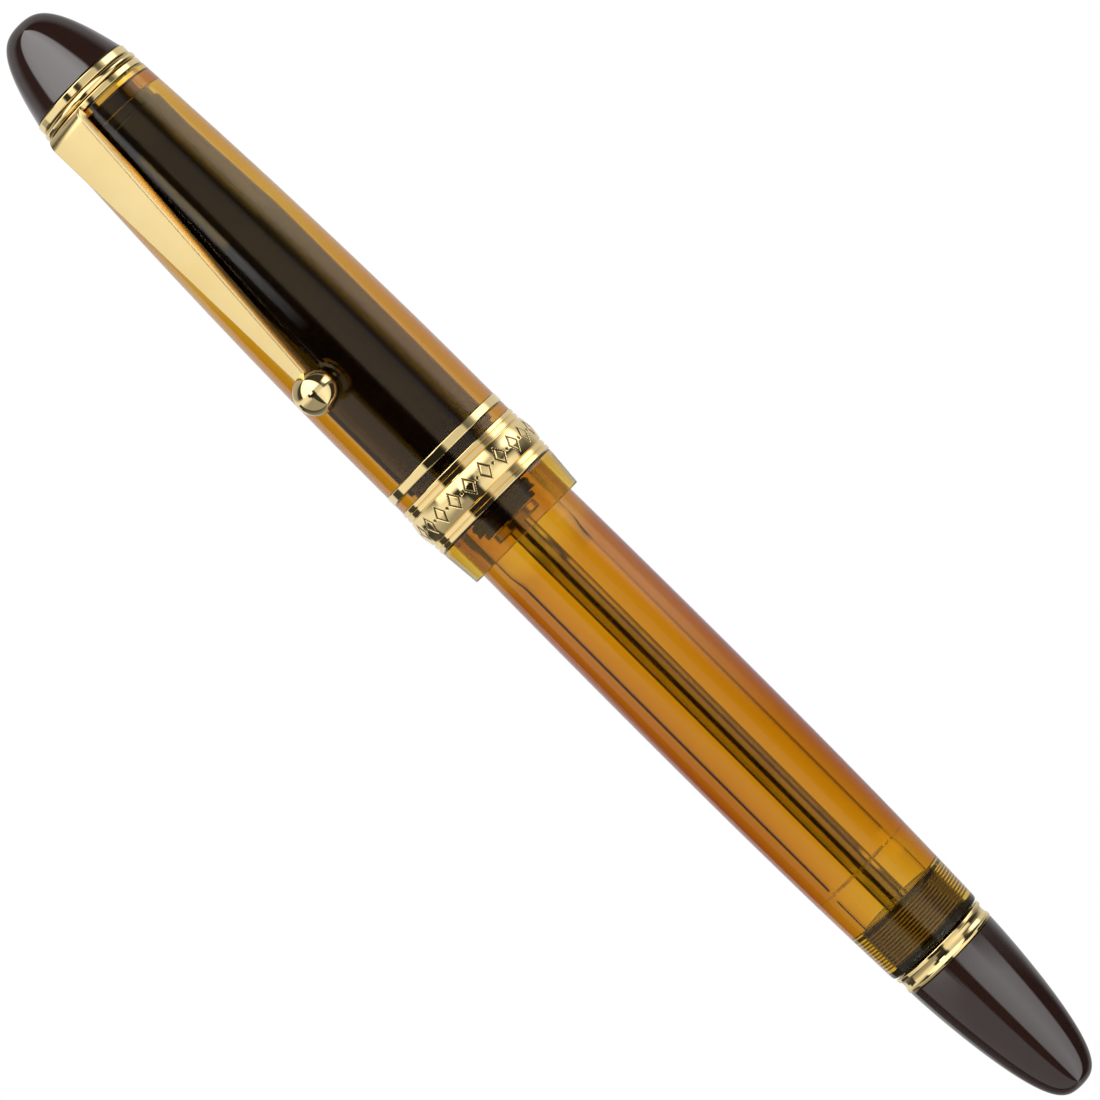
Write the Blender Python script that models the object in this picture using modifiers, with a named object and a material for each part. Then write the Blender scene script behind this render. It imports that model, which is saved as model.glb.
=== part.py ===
"""A capped fountain pen with a plunger (vacuum) filler, as an assembly of separate solids.

The pen stands upright, finial up, as it hangs in a pocket. +Z runs along the pen towards the
finial and the clip faces -Y. The origin is the point of the cap's surface under the clip's ball,
where the pocket's edge is gripped. Lengths below are millimetres; MM turns them into metres.
"""

import math

import bmesh
import bpy

MM = 0.001

# ---------------------------------------------------------------- driving dimensions
# Lengths along the pen
FINIAL_LENGTH = 8.5
FINIAL_RING_HEIGHT = 0.9
BEAD_RING_HEIGHT = 0.8
COLLAR_RING_HEIGHT = 0.65
CAP_LENGTH = 59.85
CLIP_REACH = 35.65
LIP_LENGTH = 4.4
WIDE_BAND_HEIGHT = 5.5
BAND_SPACING = 1.2
NARROW_BAND_HEIGHT = 1.0
CAP_TAPER_START = 16.9
BARREL_BODY_LENGTH = 57.05
BARREL_NECK_LENGTH = 7.2
SECTION_RING_HEIGHT = 0.9
SECTION_LENGTH = 19.4
TENON_LENGTH = 3.6
NIB_EXPOSED_LENGTH = 22.8
NIB_HEEL_LENGTH = 9.0
TAIL_RING_HEIGHT = 1.9
KNOB_LENGTH = 18.3

# Outer radii
FINIAL_RADIUS = 5.68
FINIAL_RING_RADIUS = 5.85
BEAD_RING_RADIUS = 6.05
COLLAR_RING_RADIUS = 6.0
CAP_TOP_RADIUS = 6.03
CAP_RADIUS = 7.39
LIP_RADIUS = 7.0
NARROW_BAND_RADIUS = 7.45
WIDE_BAND_RADIUS = 7.5
WIDE_BAND_CROWN = 0.2
BARREL_RADIUS = 6.25
BARREL_FRONT_RADIUS = 6.1
BARREL_TAIL_RADIUS = 5.75
NECK_THREAD_RADIUS = 5.7
SECTION_RING_RADIUS = 5.45
SECTION_LIP_RADIUS = 4.95
SECTION_WAIST_RADIUS = 4.55
SECTION_REAR_RADIUS = 5.35
TENON_RADIUS = 4.3
TAIL_RING_RADIUS = 5.62
KNOB_RADIUS = 5.5

# How the outlines curve
CAP_TAPER_POWER = 1.8
BARREL_FULLEST_AT = 0.42
BARREL_FRONT_POWER = 2
BARREL_TAIL_POWER = 2.4
FINIAL_FLATNESS, FINIAL_BLUNTNESS = 1.0, 0.335
KNOB_FLATNESS, KNOB_BLUNTNESS = 1.3, 0.308
BEAD_BULGE = 0.1
BAND_CROWN_START = 0.16
SECTION_WAIST_AT = 0.28
SECTION_FLARE_AT = 0.65
SECTION_FLARE_DIP = 0.15
TAIL_RING_DIP = 0.15
NIB_RIDGE_POWER = 0.6
NIB_SHOULDER_POWER = 1.3

# Bores, walls and inner pieces
CAP_END_WALL = 2.2
CAP_TOP_BORE_RADIUS = 5.1
INNER_CAP_RADIUS = 5.65
INNER_CAP_WALL = 0.65
INNER_CAP_OVERLAP = 4.0
INNER_CAP_SKIRT_WALL = 0.25
CAP_NECK_SHARE = 0.12
CAP_NARROWING_SHARE = 0.32
BAND_GROOVE_DEPTH = 0.45
CHAMBER_RADIUS = 4.0
FRONT_CHAMBER_RADIUS = 4.35
FRONT_CHAMBER_LENGTH = 7.5
REAR_RELIEF_LENGTH = 3.8
REAR_RELIEF_DEPTH = 0.2
PLUG_LENGTH = 4.7
PLUG_RADIUS = 4.8
NIPPLE_RADIUS = 2.9
NIPPLE_LENGTH = 6.8
GASKET_HEIGHT = 0.8
ROD_RADIUS = 1.4
HEAD_RADIUS = 3.3
HEAD_LENGTH = 2.3
HEAD_NUT_RADIUS = 2.8
HEAD_NUT_LENGTH = 0.95
VALVE_LENGTH = 1.4
VALVE_RADIUS = 1.7
SEAL_HEIGHT = 1.0
INK_CHANNEL_RADIUS = 0.9
STUD_RADIUS = 4.1
STUD_HEAD_RADIUS = 4.7
STUD_HEAD_HEIGHT = 0.9
STUD_DEPTH = 5.0
PACKING_RADIUS = 2.1
PACKING_HEIGHT = 1.1
INSERT_WALL = 1.15
INSERT_ROOF = 1.5
ROD_NUT_RADIUS = 2.6
ROD_NUT_HEIGHT = 1.5
ORING_HEIGHT = 0.8
ORING_THICKNESS = 0.4
ORING_ROOM = 0.7
ORING_SEAT_DEPTH = 1.0
CHAMBER_STEP = 1.2
LIP_EDGE = 0.2
LIP_STEP = 0.25
SECTION_LIP_EDGE = 0.35
SECTION_LIP_ROUND = 0.5
SECTION_LIP_LENGTH = 1.2
WASHER_TONGUE_INSET = 0.5
FEED_POINT = 0.5
SEAL_DRAFT = 0.2

# Threads, as plain ridges that clear their mates
THREAD_PITCH = 0.7
THREAD_DEPTH = 0.3
THREAD_RIDGES = 3
PLUG_RIDGES = 4

# Nib and feed
NIB_THICKNESS = 0.25
NIB_TIP_HEIGHT = 1.2
NIB_RIDGE_HEIGHT = 3.2
NIB_TIP_HALF_WIDTH = 0.35
NIB_SHOULDER_HALF_WIDTH = 4.2
NIB_HEEL_HALF_WIDTH = 3.9
NIB_SHOULDER_AT = 0.55
NIB_SHOULDER_CURVE_RADIUS = 4.6
TIPPING_RADIUS = 0.42
FEED_SETBACK = 4.5

# Clip
CLIP_ROOT_HEIGHT = 2.45
CLIP_END_HEIGHT = 2.6
CLIP_DEPTH = 1.7
CLIP_ROOT_WIDTH = 5.0
CLIP_END_WIDTH = 1.25
CLIP_ROOT_RISE = 0.45
CLIP_ROOT_THICKNESS = 1.1
CLIP_BEND = 0.5
CLIP_BALL_RADIUS = 2.28
TONGUE_WIDTH = 2.4
TONGUE_THICKNESS = 0.5
WASHER_RADIUS = 5.2

# Clearances and small edges
FIT = 0.1
SEAT = 0.1
EDGE = 0.3
FINE_EDGE = 0.12
RING_EDGE_SHARE = 0.12

# Facets around a turned piece, and points along its curves
FACETS = 24
SMALL_FACETS = 16
TIPPING_FACETS = 12
CURVE_STEPS = 6
DOME_STEPS = 8
NIB_ROWS, NIB_COLUMNS = 15, 8
NIB_ROW_POWER = 1.2

# ---------------------------------------------------------------- stations along the pen
CAP_TOP = CLIP_REACH
COLLAR_RING_TOP = CAP_TOP + SEAT + COLLAR_RING_HEIGHT
BEAD_RING_TOP = COLLAR_RING_TOP + SEAT + BEAD_RING_HEIGHT
FINIAL_RING_TOP = BEAD_RING_TOP + SEAT + FINIAL_RING_HEIGHT
FINIAL_BASE = FINIAL_RING_TOP + SEAT
LIP = CAP_TOP - CAP_LENGTH
WIDE_BAND_BOTTOM = LIP + LIP_LENGTH
WIDE_BAND_TOP = WIDE_BAND_BOTTOM + WIDE_BAND_HEIGHT
NARROW_BAND_BOTTOM = WIDE_BAND_TOP + BAND_SPACING
NARROW_BAND_TOP = NARROW_BAND_BOTTOM + NARROW_BAND_HEIGHT
TAPER_START = LIP + CAP_TAPER_START
BARREL_END = LIP - BARREL_BODY_LENGTH
BARREL_FRONT = LIP + BARREL_NECK_LENGTH
SECTION_REAR = BARREL_FRONT + SEAT + SECTION_RING_HEIGHT + SEAT
SECTION_FRONT = SECTION_REAR + SECTION_LENGTH
TENON_END = SECTION_REAR - TENON_LENGTH
NIB_TIP = SECTION_FRONT + NIB_EXPOSED_LENGTH
NIB_HEEL = SECTION_FRONT - NIB_HEEL_LENGTH
CAP_CEILING = CAP_TOP - CAP_END_WALL
STUD_HEAD_BOTTOM = CAP_CEILING - SEAT - STUD_HEAD_HEIGHT
INNER_CAP_TOP = STUD_HEAD_BOTTOM - SEAT
INNER_CAP_SEAL = SECTION_FRONT - INNER_CAP_OVERLAP
INNER_CAP_MOUTH = (WIDE_BAND_TOP + NARROW_BAND_BOTTOM) / 2
PLUG_FRONT = BARREL_END + GASKET_HEIGHT + SEAT + PLUG_LENGTH
PLUG_SHOULDER = BARREL_END + GASKET_HEIGHT + SEAT
NIPPLE_END = PLUG_SHOULDER - NIPPLE_LENGTH
TAIL_RING_TOP = BARREL_END - 2 * SEAT
TAIL_RING_BOTTOM = TAIL_RING_TOP - TAIL_RING_HEIGHT
KNOB_TOP = TAIL_RING_BOTTOM - SEAT
KNOB_END = KNOB_TOP - KNOB_LENGTH
VALVE_TOP = TENON_END + VALVE_LENGTH - SEAT
HEAD_TOP = VALVE_TOP - VALVE_LENGTH - SEAT
HEAD_BOTTOM = HEAD_TOP - HEAD_LENGTH
HEAD_NUT_BOTTOM = HEAD_BOTTOM - SEAT - HEAD_NUT_LENGTH
INSERT_TOP = KNOB_TOP - SEAT
INSERT_CEILING = NIPPLE_END - 4 * SEAT
INSERT_BOTTOM = INSERT_CEILING - INSERT_ROOF
ROD_NUT_TOP = INSERT_BOTTOM - SEAT
ROD_NUT_BOTTOM = ROD_NUT_TOP - ROD_NUT_HEIGHT
ROD_BOTTOM = ROD_NUT_BOTTOM - SEAT
ROD_TOP = HEAD_TOP - HEAD_LENGTH / 2

# Radii that follow from others
STUD_HOLE_RADIUS = STUD_RADIUS + FIT
ROD_HOLE_RADIUS = ROD_RADIUS + FIT
CAP_THREAD_RADIUS = NECK_THREAD_RADIUS + FIT
MOUTH_RADIUS = BARREL_RADIUS + FIT
CAP_BORE_RADIUS = INNER_CAP_RADIUS + FIT
SECTION_BORE_RADIUS = NIB_RIDGE_HEIGHT + FIT
PLUG_SEAT_RADIUS = PLUG_RADIUS + FIT
SEAL_RADIUS = CHAMBER_RADIUS - FIT
INSERT_BORE_RADIUS = NIPPLE_RADIUS + FIT
INSERT_RADIUS = INSERT_BORE_RADIUS + INSERT_WALL
SOCKET_RADIUS = INSERT_RADIUS + FIT
BAND_GROOVE_RADIUS = CAP_RADIUS - BAND_GROOVE_DEPTH
BAND_BORE_RADIUS = BAND_GROOVE_RADIUS + FIT


def cap_radius(z):
    """The cap's outer radius: straight near the mouth, then a slowly growing taper to the top."""
    share = max(0.0, (z - TAPER_START) / (CAP_TOP - TAPER_START))
    return CAP_RADIUS - (CAP_RADIUS - CAP_TOP_RADIUS) * share**CAP_TAPER_POWER


def barrel_radius(z):
    """The barrel's outer radius: fullest a little in front of its middle, finer at both ends."""
    widest = LIP - BARREL_FULLEST_AT * BARREL_BODY_LENGTH
    if z > widest:
        share = (z - widest) / (LIP - widest)
        return BARREL_RADIUS - (BARREL_RADIUS - BARREL_FRONT_RADIUS) * share**BARREL_FRONT_POWER
    share = (widest - z) / (widest - BARREL_END)
    return BARREL_RADIUS - (BARREL_RADIUS - BARREL_TAIL_RADIUS) * share**BARREL_TAIL_POWER


def dome(base_radius, length, flatness, bluntness):
    """(radius, distance from the tip) along a dome, from its tip to its base."""
    points = []
    for step in range(DOME_STEPS + 1):
        along = (step / DOME_STEPS) ** 2
        points.append((base_radius * (1 - (1 - along) ** flatness) ** bluntness, along * length))
    return points


def ridges(radius, depth, start, pitch, count):
    """Thread ridges running down from start: each rises from radius - depth to radius and back."""
    points = []
    quarter = pitch / 4
    for turn in range(count):
        top = start - turn * pitch
        points += [
            (radius - depth, top),
            (radius, top - quarter),
            (radius, top - 2 * quarter),
            (radius - depth, top - 3 * quarter),
        ]
    return points


AXIS_DISTANCE = cap_radius(0.0)

# ---------------------------------------------------------------- scene, collections, materials
for old in list(bpy.data.objects):
    bpy.data.objects.remove(old)

scene = bpy.context.scene
pen = bpy.data.collections.new("fountain_pen")
cutters = bpy.data.collections.new("cutters")
scene.collection.children.link(pen)
scene.collection.children.link(cutters)


def material(name, colour, roughness, metallic=0.0, transmission=0.0):
    made = bpy.data.materials.new(name)
    made.use_nodes = True
    shader = made.node_tree.nodes["Principled BSDF"]
    shader.inputs["Base Color"].default_value = (*colour, 1.0)
    shader.inputs["Roughness"].default_value = roughness
    shader.inputs["Metallic"].default_value = metallic
    shader.inputs["Transmission Weight"].default_value = transmission
    return made


AMBER = material("amber_resin", (0.75, 0.36, 0.05), 0.05, transmission=0.9)
DARK_RESIN = material("dark_brown_resin", (0.045, 0.018, 0.012), 0.06)
BROWN_RESIN = material("brown_resin", (0.16, 0.09, 0.03), 0.1, transmission=0.5)
GOLD = material("gold_plate", (0.94, 0.74, 0.36), 0.08, metallic=1.0)
NIB_GOLD = material("nib_gold", (0.9, 0.7, 0.38), 0.15, metallic=1.0)
STEEL = material("polished_steel", (0.62, 0.61, 0.6), 0.12, metallic=1.0)
BRASS = material("brass", (0.75, 0.58, 0.28), 0.3, metallic=1.0)
RUBBER = material("black_rubber", (0.02, 0.02, 0.022), 0.6)
EBONITE = material("feed_plastic", (0.015, 0.013, 0.013), 0.45)


def body_frame(name):
    """An empty on the pen's axis that the pieces of one moving body hang from."""
    frame = bpy.data.objects.new(name, None)
    frame.location = (0.0, AXIS_DISTANCE * MM, 0.0)
    pen.objects.link(frame)
    return frame


CAP_BODY = body_frame("cap_axis")
CARRIER_BODY = body_frame("carrier_axis")
PEN_BODY = body_frame("pen_axis")
PLUNGER_BODY = body_frame("plunger_axis")
KNOB_BODY = body_frame("knob_axis")

CLIP_BODY = bpy.data.objects.new("clip_root", None)
CLIP_HINGE_DISTANCE = CAP_TOP_RADIUS + 4 * FIT
CLIP_BODY.location = (0.0, (AXIS_DISTANCE - CLIP_HINGE_DISTANCE) * MM, (CAP_TOP - SEAT) * MM)
pen.objects.link(CLIP_BODY)


def add(name, mesh, paint, parent, collection=pen):
    piece = bpy.data.objects.new(name, mesh)
    collection.objects.link(piece)
    mesh.materials.append(paint)
    piece.parent = parent
    return piece


def turned(name, profile, paint, parent, facets=FACETS, closed=True):
    """A turned piece: (radius, z) points down its outer side, and back up its bore if it has one."""
    mesh = bpy.data.meshes.new(name)
    points = [(radius * MM, 0.0, z * MM) for radius, z in profile]
    edges = [(i, i + 1) for i in range(len(points) - 1)]
    if closed:
        edges.append((len(points) - 1, 0))
    mesh.from_pydata(points, edges, [])
    piece = add(name, mesh, paint, parent)
    screw = piece.modifiers.new("turning", "SCREW")
    screw.axis = "Z"
    screw.steps = facets
    screw.render_steps = facets
    screw.use_merge_vertices = True
    screw.merge_threshold = 0.000001
    screw.use_smooth_shade = True
    return piece


def cut(piece, cutter, operation="DIFFERENCE"):
    cutter.hide_render = True
    cutter.display_type = "WIRE"
    boolean = piece.modifiers.new(cutter.name, "BOOLEAN")
    boolean.operation = operation
    boolean.solver = "EXACT"
    boolean.object = cutter


def block(name, size, centre, parent=None, paint=GOLD, collection=cutters):
    """A box of (x, y, z) size, centred at a point given from the pen's axis."""
    shape = bmesh.new()
    bmesh.ops.create_cube(shape, size=1.0)
    bmesh.ops.scale(shape, vec=[side * MM for side in size], verts=shape.verts)
    mesh = bpy.data.meshes.new(name)
    shape.to_mesh(mesh)
    shape.free()
    box = add(name, mesh, paint, parent, collection)
    box.location = [place * MM for place in centre]
    return box


def outline(name, points, thickness, turn, centre, paint=GOLD, collection=cutters):
    """A flat outline extruded both ways by half its thickness, turned about X, made a mesh."""
    curve = bpy.data.curves.new(name, "CURVE")
    curve.dimensions = "2D"
    curve.fill_mode = "BOTH"
    curve.extrude = thickness * MM / 2
    spline = curve.splines.new("POLY")
    spline.points.add(len(points) - 1)
    for point, (x, y) in zip(spline.points, points):
        point.co = (x * MM, y * MM, 0.0, 1.0)
    spline.use_cyclic_u = True
    guide = bpy.data.objects.new(name + "_guide", curve)
    collection.objects.link(guide)
    guide.rotation_euler = turn
    guide.location = [place * MM for place in centre]
    bpy.context.view_layer.update()
    evaluated = guide.evaluated_get(bpy.context.evaluated_depsgraph_get())
    mesh = bpy.data.meshes.new_from_object(evaluated)
    shape = bmesh.new()
    shape.from_mesh(mesh)
    bmesh.ops.remove_doubles(shape, verts=shape.verts, dist=0.000001)
    bmesh.ops.recalc_face_normals(shape, faces=shape.faces)
    shape.to_mesh(mesh)
    shape.free()
    mesh.materials.clear()
    piece = add(name, mesh, paint, None, collection)
    piece.matrix_world = guide.matrix_world.copy()
    bpy.data.objects.remove(guide)
    return piece


# ---------------------------------------------------------------- cap: finial, rings, stud
def finial():
    profile = dome(FINIAL_RADIUS, FINIAL_LENGTH, FINIAL_FLATNESS, FINIAL_BLUNTNESS)
    outer = [(radius, FINIAL_BASE + FINIAL_LENGTH - along) for radius, along in profile]
    hole_top = FINIAL_BASE + STUD_DEPTH
    bore = [(STUD_HOLE_RADIUS, FINIAL_BASE), (STUD_HOLE_RADIUS, hole_top), (0.0, hole_top)]
    return turned("finial", outer + bore, DARK_RESIN, CAP_BODY, closed=False)


def ring(name, top, height, radius, crown, bore, paint, parent):
    """A plain or crowned ring: its outer face stands out by crown at mid height."""
    edge = RING_EDGE_SHARE * height
    profile = [
        (radius - edge, top),
        (radius, top - edge),
        (radius + crown, top - height / 2),
        (radius, top - height + edge),
        (radius - edge, top - height),
        (bore, top - height),
        (bore, top),
    ]
    return turned(name, profile, paint, parent)


def crown_rings():
    for name, top, height, radius, bulge in (
        ("finial_ring", FINIAL_RING_TOP, FINIAL_RING_HEIGHT, FINIAL_RING_RADIUS, 0.0),
        ("bead_ring", BEAD_RING_TOP, BEAD_RING_HEIGHT, BEAD_RING_RADIUS - BEAD_BULGE, BEAD_BULGE),
        ("collar_ring", COLLAR_RING_TOP, COLLAR_RING_HEIGHT, COLLAR_RING_RADIUS, 0.0),
    ):
        ring(name, top, height, radius, bulge, STUD_HOLE_RADIUS, GOLD, CAP_BODY)


def finial_stud():
    top = FINIAL_BASE + STUD_DEPTH - FIT
    under = CAP_CEILING - SEAT
    profile = [
        (0.0, top),
        (STUD_RADIUS, top),
        (STUD_RADIUS, under),
        (STUD_HEAD_RADIUS, under),
        (STUD_HEAD_RADIUS, STUD_HEAD_BOTTOM),
        (0.0, STUD_HEAD_BOTTOM),
    ]
    return turned("finial_stud", profile, DARK_RESIN, CAP_BODY, SMALL_FACETS, closed=False)


# ---------------------------------------------------------------- cap: tube, bands, inner cap
def cap_tube():
    steps = [CAP_TOP - (CAP_TOP - TAPER_START) * i / CURVE_STEPS for i in range(CURVE_STEPS + 1)]
    outer = [(cap_radius(z), z) for z in steps]
    for top, bottom in ((NARROW_BAND_TOP, NARROW_BAND_BOTTOM), (WIDE_BAND_TOP, WIDE_BAND_BOTTOM)):
        outer += [
            (CAP_RADIUS, top + SEAT),
            (BAND_GROOVE_RADIUS, top + SEAT),
            (BAND_GROOVE_RADIUS, bottom - SEAT),
            (CAP_RADIUS, bottom - SEAT),
        ]
    lip = [
        (CAP_RADIUS - LIP_STEP, LIP + LIP_STEP * LIP_LENGTH),
        (LIP_RADIUS, LIP + LIP_EDGE),
        (LIP_RADIUS - LIP_EDGE, LIP),
        (MOUTH_RADIUS, LIP),
    ]
    thread_start = WIDE_BAND_BOTTOM + 2 * SEAT
    threads = [(MOUTH_RADIUS, thread_start)]
    root = CAP_THREAD_RADIUS + THREAD_DEPTH
    quarter = THREAD_PITCH / 4
    for turn in range(THREAD_RIDGES):
        base = thread_start + turn * THREAD_PITCH + quarter
        threads += [
            (root, base),
            (CAP_THREAD_RADIUS, base + quarter),
            (CAP_THREAD_RADIUS, base + 2 * quarter),
            (root, base + 3 * quarter),
        ]
    last = threads[-1][1]
    bore = [
        (CAP_BORE_RADIUS, last + 2 * SEAT),
        (CAP_BORE_RADIUS, CAP_TOP - CAP_NARROWING_SHARE * CAP_LENGTH),
        (CAP_TOP_BORE_RADIUS, CAP_TOP - CAP_NECK_SHARE * CAP_LENGTH),
        (CAP_TOP_BORE_RADIUS, CAP_CEILING),
        (STUD_HOLE_RADIUS, CAP_CEILING),
        (STUD_HOLE_RADIUS, CAP_TOP - TONGUE_THICKNESS - 2 * FIT),
        (WASHER_RADIUS + FIT, CAP_TOP - TONGUE_THICKNESS - 2 * FIT),
        (WASHER_RADIUS + FIT, CAP_TOP),
    ]
    tube = turned("cap_tube", outer + lip + threads + bore, AMBER, CAP_BODY)
    notch_depth = TONGUE_THICKNESS + 2 * FIT
    notch = block(
        "clip_notch",
        (TONGUE_WIDTH + 2 * FIT, CAP_TOP_RADIUS, 2 * notch_depth),
        (0.0, AXIS_DISTANCE - CAP_TOP_RADIUS, CAP_TOP),
    )
    cut(tube, notch)
    return tube


def cap_bands():
    middle = (WIDE_BAND_TOP + WIDE_BAND_BOTTOM) / 2
    step = BAND_CROWN_START * WIDE_BAND_HEIGHT
    wide = [
        (WIDE_BAND_RADIUS - FINE_EDGE, WIDE_BAND_TOP),
        (WIDE_BAND_RADIUS, WIDE_BAND_TOP - FINE_EDGE),
        (WIDE_BAND_RADIUS, WIDE_BAND_TOP - step),
        (WIDE_BAND_RADIUS + WIDE_BAND_CROWN, middle),
        (WIDE_BAND_RADIUS, WIDE_BAND_BOTTOM + step),
        (WIDE_BAND_RADIUS, WIDE_BAND_BOTTOM + FINE_EDGE),
        (WIDE_BAND_RADIUS - FINE_EDGE, WIDE_BAND_BOTTOM),
        (BAND_BORE_RADIUS, WIDE_BAND_BOTTOM),
        (BAND_BORE_RADIUS, WIDE_BAND_TOP),
    ]
    turned("wide_cap_band", wide, GOLD, CAP_BODY)
    ring(
        "narrow_cap_band",
        NARROW_BAND_TOP,
        NARROW_BAND_HEIGHT,
        NARROW_BAND_RADIUS,
        0.0,
        BAND_BORE_RADIUS,
        GOLD,
        CAP_BODY,
    )


def inner_cap():
    """A liner that seals over the grip, with a thin skirt that goes on down to the bands."""
    top_radius = CAP_TOP_BORE_RADIUS - FIT
    shoulder = CAP_TOP - CAP_NECK_SHARE * CAP_LENGTH - FIT
    narrowing = CAP_TOP - CAP_NARROWING_SHARE * CAP_LENGTH - 2 * FIT
    wall = INNER_CAP_WALL
    profile = [
        (0.0, INNER_CAP_TOP),
        (top_radius, INNER_CAP_TOP),
        (top_radius, shoulder),
        (INNER_CAP_RADIUS, narrowing),
        (INNER_CAP_RADIUS, INNER_CAP_MOUTH),
        (INNER_CAP_RADIUS - INNER_CAP_SKIRT_WALL, INNER_CAP_MOUTH),
        (INNER_CAP_RADIUS - INNER_CAP_SKIRT_WALL, INNER_CAP_SEAL),
        (INNER_CAP_RADIUS - wall, INNER_CAP_SEAL),
        (INNER_CAP_RADIUS - wall, narrowing),
        (top_radius - wall, shoulder),
        (top_radius - wall, INNER_CAP_TOP - wall),
        (0.0, INNER_CAP_TOP - wall),
    ]
    return turned("inner_cap", profile, DARK_RESIN, CAP_BODY, closed=False)


# ---------------------------------------------------------------- clip
def clip_washer():
    """The clip's washer lies in the cap's top recess, and its tongue runs out through the notch."""
    top = CAP_TOP - FIT
    bottom = top - TONGUE_THICKNESS
    profile = [
        (WASHER_RADIUS, top),
        (WASHER_RADIUS, bottom),
        (STUD_HOLE_RADIUS, bottom),
        (STUD_HOLE_RADIUS, top),
    ]
    washer = turned("clip_washer", profile, GOLD, CAP_BODY)
    reach = CLIP_HINGE_DISTANCE - FIT
    inset = STUD_HOLE_RADIUS + WASHER_TONGUE_INSET
    tongue = block(
        "clip_tongue",
        (TONGUE_WIDTH, reach - inset, TONGUE_THICKNESS),
        (0.0, AXIS_DISTANCE - (reach + inset) / 2, (top + bottom) / 2),
    )
    cut(washer, tongue, "UNION")
    return washer


def clip_arm():
    """The arm's side outline, cut to the tapering width of its face."""
    root_top = CAP_TOP + CLIP_ROOT_RISE
    face_root = CAP_TOP_RADIUS + CLIP_ROOT_HEIGHT
    face_end = AXIS_DISTANCE + CLIP_END_HEIGHT
    end = CLIP_BALL_RADIUS + FIT
    bend = CLIP_BEND
    side = [
        (-CLIP_HINGE_DISTANCE, root_top),
        (-face_root + bend, root_top),
        (-face_root + 0.15 * bend, root_top - 0.4 * bend),
        (-face_root, root_top - bend),
        (-face_end, end),
        (-face_end + CLIP_DEPTH, end),
        (-face_root + CLIP_DEPTH, root_top - CLIP_ROOT_THICKNESS - bend),
        (-face_root + CLIP_DEPTH + 0.5 * bend, root_top - CLIP_ROOT_THICKNESS),
        (-CLIP_HINGE_DISTANCE, root_top - CLIP_ROOT_THICKNESS),
    ]
    upright = (math.pi / 2, 0.0, math.pi / 2)
    centre = (0.0, AXIS_DISTANCE, 0.0)
    arm = outline("clip_arm", side, CLIP_ROOT_WIDTH, upright, centre, GOLD, pen)
    half_root, half_end = CLIP_ROOT_WIDTH / 2, CLIP_END_WIDTH / 2
    face = [
        (-half_root + bend, root_top + bend),
        (half_root - bend, root_top + bend),
        (half_root, root_top - 2 * bend),
        (half_end, end),
        (half_end, end - bend),
        (-half_end, end - bend),
        (-half_end, end),
        (-half_root, root_top - 2 * bend),
    ]
    facing = (math.pi / 2, 0.0, 0.0)
    cut(arm, outline("clip_face", face, 4 * CAP_RADIUS, facing, (0.0, 0.0, 0.0)), "INTERSECT")
    hang_from(arm, CLIP_BODY)
    return arm


def hang_from(piece, parent):
    """Parents a placed piece, keeping its place."""
    bpy.context.view_layer.update()
    place = piece.matrix_world.copy()
    piece.parent = parent
    piece.matrix_parent_inverse = parent.matrix_world.inverted()
    piece.matrix_world = place


def ball(name, radius, centre, paint, parent, facets=SMALL_FACETS):
    shape = bmesh.new()
    bmesh.ops.create_uvsphere(shape, u_segments=facets, v_segments=facets // 2, radius=radius * MM)
    mesh = bpy.data.meshes.new(name)
    shape.to_mesh(mesh)
    shape.free()
    mesh.shade_smooth()
    piece = add(name, mesh, paint, None)
    piece.location = [place * MM for place in centre]
    hang_from(piece, parent)
    return piece


# ---------------------------------------------------------------- section, nib and feed
def grip_section():
    front, rear = SECTION_FRONT, SECTION_REAR
    throat = NIB_HEEL - 4 * SEAT
    seat_top = TENON_END + VALVE_LENGTH
    flare = (SECTION_WAIST_RADIUS + SECTION_REAR_RADIUS) / 2 - SECTION_FLARE_DIP
    profile = [
        (SECTION_LIP_RADIUS - SECTION_LIP_EDGE, front),
        (SECTION_LIP_RADIUS, front - SECTION_LIP_ROUND),
        (SECTION_LIP_RADIUS, front - SECTION_LIP_LENGTH),
        (SECTION_WAIST_RADIUS, front - SECTION_WAIST_AT * SECTION_LENGTH),
        (flare, front - SECTION_FLARE_AT * SECTION_LENGTH),
        (SECTION_REAR_RADIUS, rear),
        (TENON_RADIUS, rear),
        (TENON_RADIUS, TENON_END),
        (VALVE_RADIUS + FIT, TENON_END),
        (INK_CHANNEL_RADIUS, seat_top),
        (INK_CHANNEL_RADIUS, throat),
        (SECTION_BORE_RADIUS, throat),
        (SECTION_BORE_RADIUS, front),
    ]
    return turned("grip_section", profile, DARK_RESIN, PEN_BODY)


def section_trim():
    top = SECTION_REAR - SEAT
    bore = TENON_RADIUS + FIT
    ring("section_ring", top, SECTION_RING_HEIGHT, SECTION_RING_RADIUS, 0.0, bore, GOLD, CARRIER_BODY)
    oring_top = BARREL_FRONT - SEAT
    outer = bore + ORING_THICKNESS
    ring("section_oring", oring_top, ORING_HEIGHT, outer, 0.0, bore, RUBBER, PEN_BODY)


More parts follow.
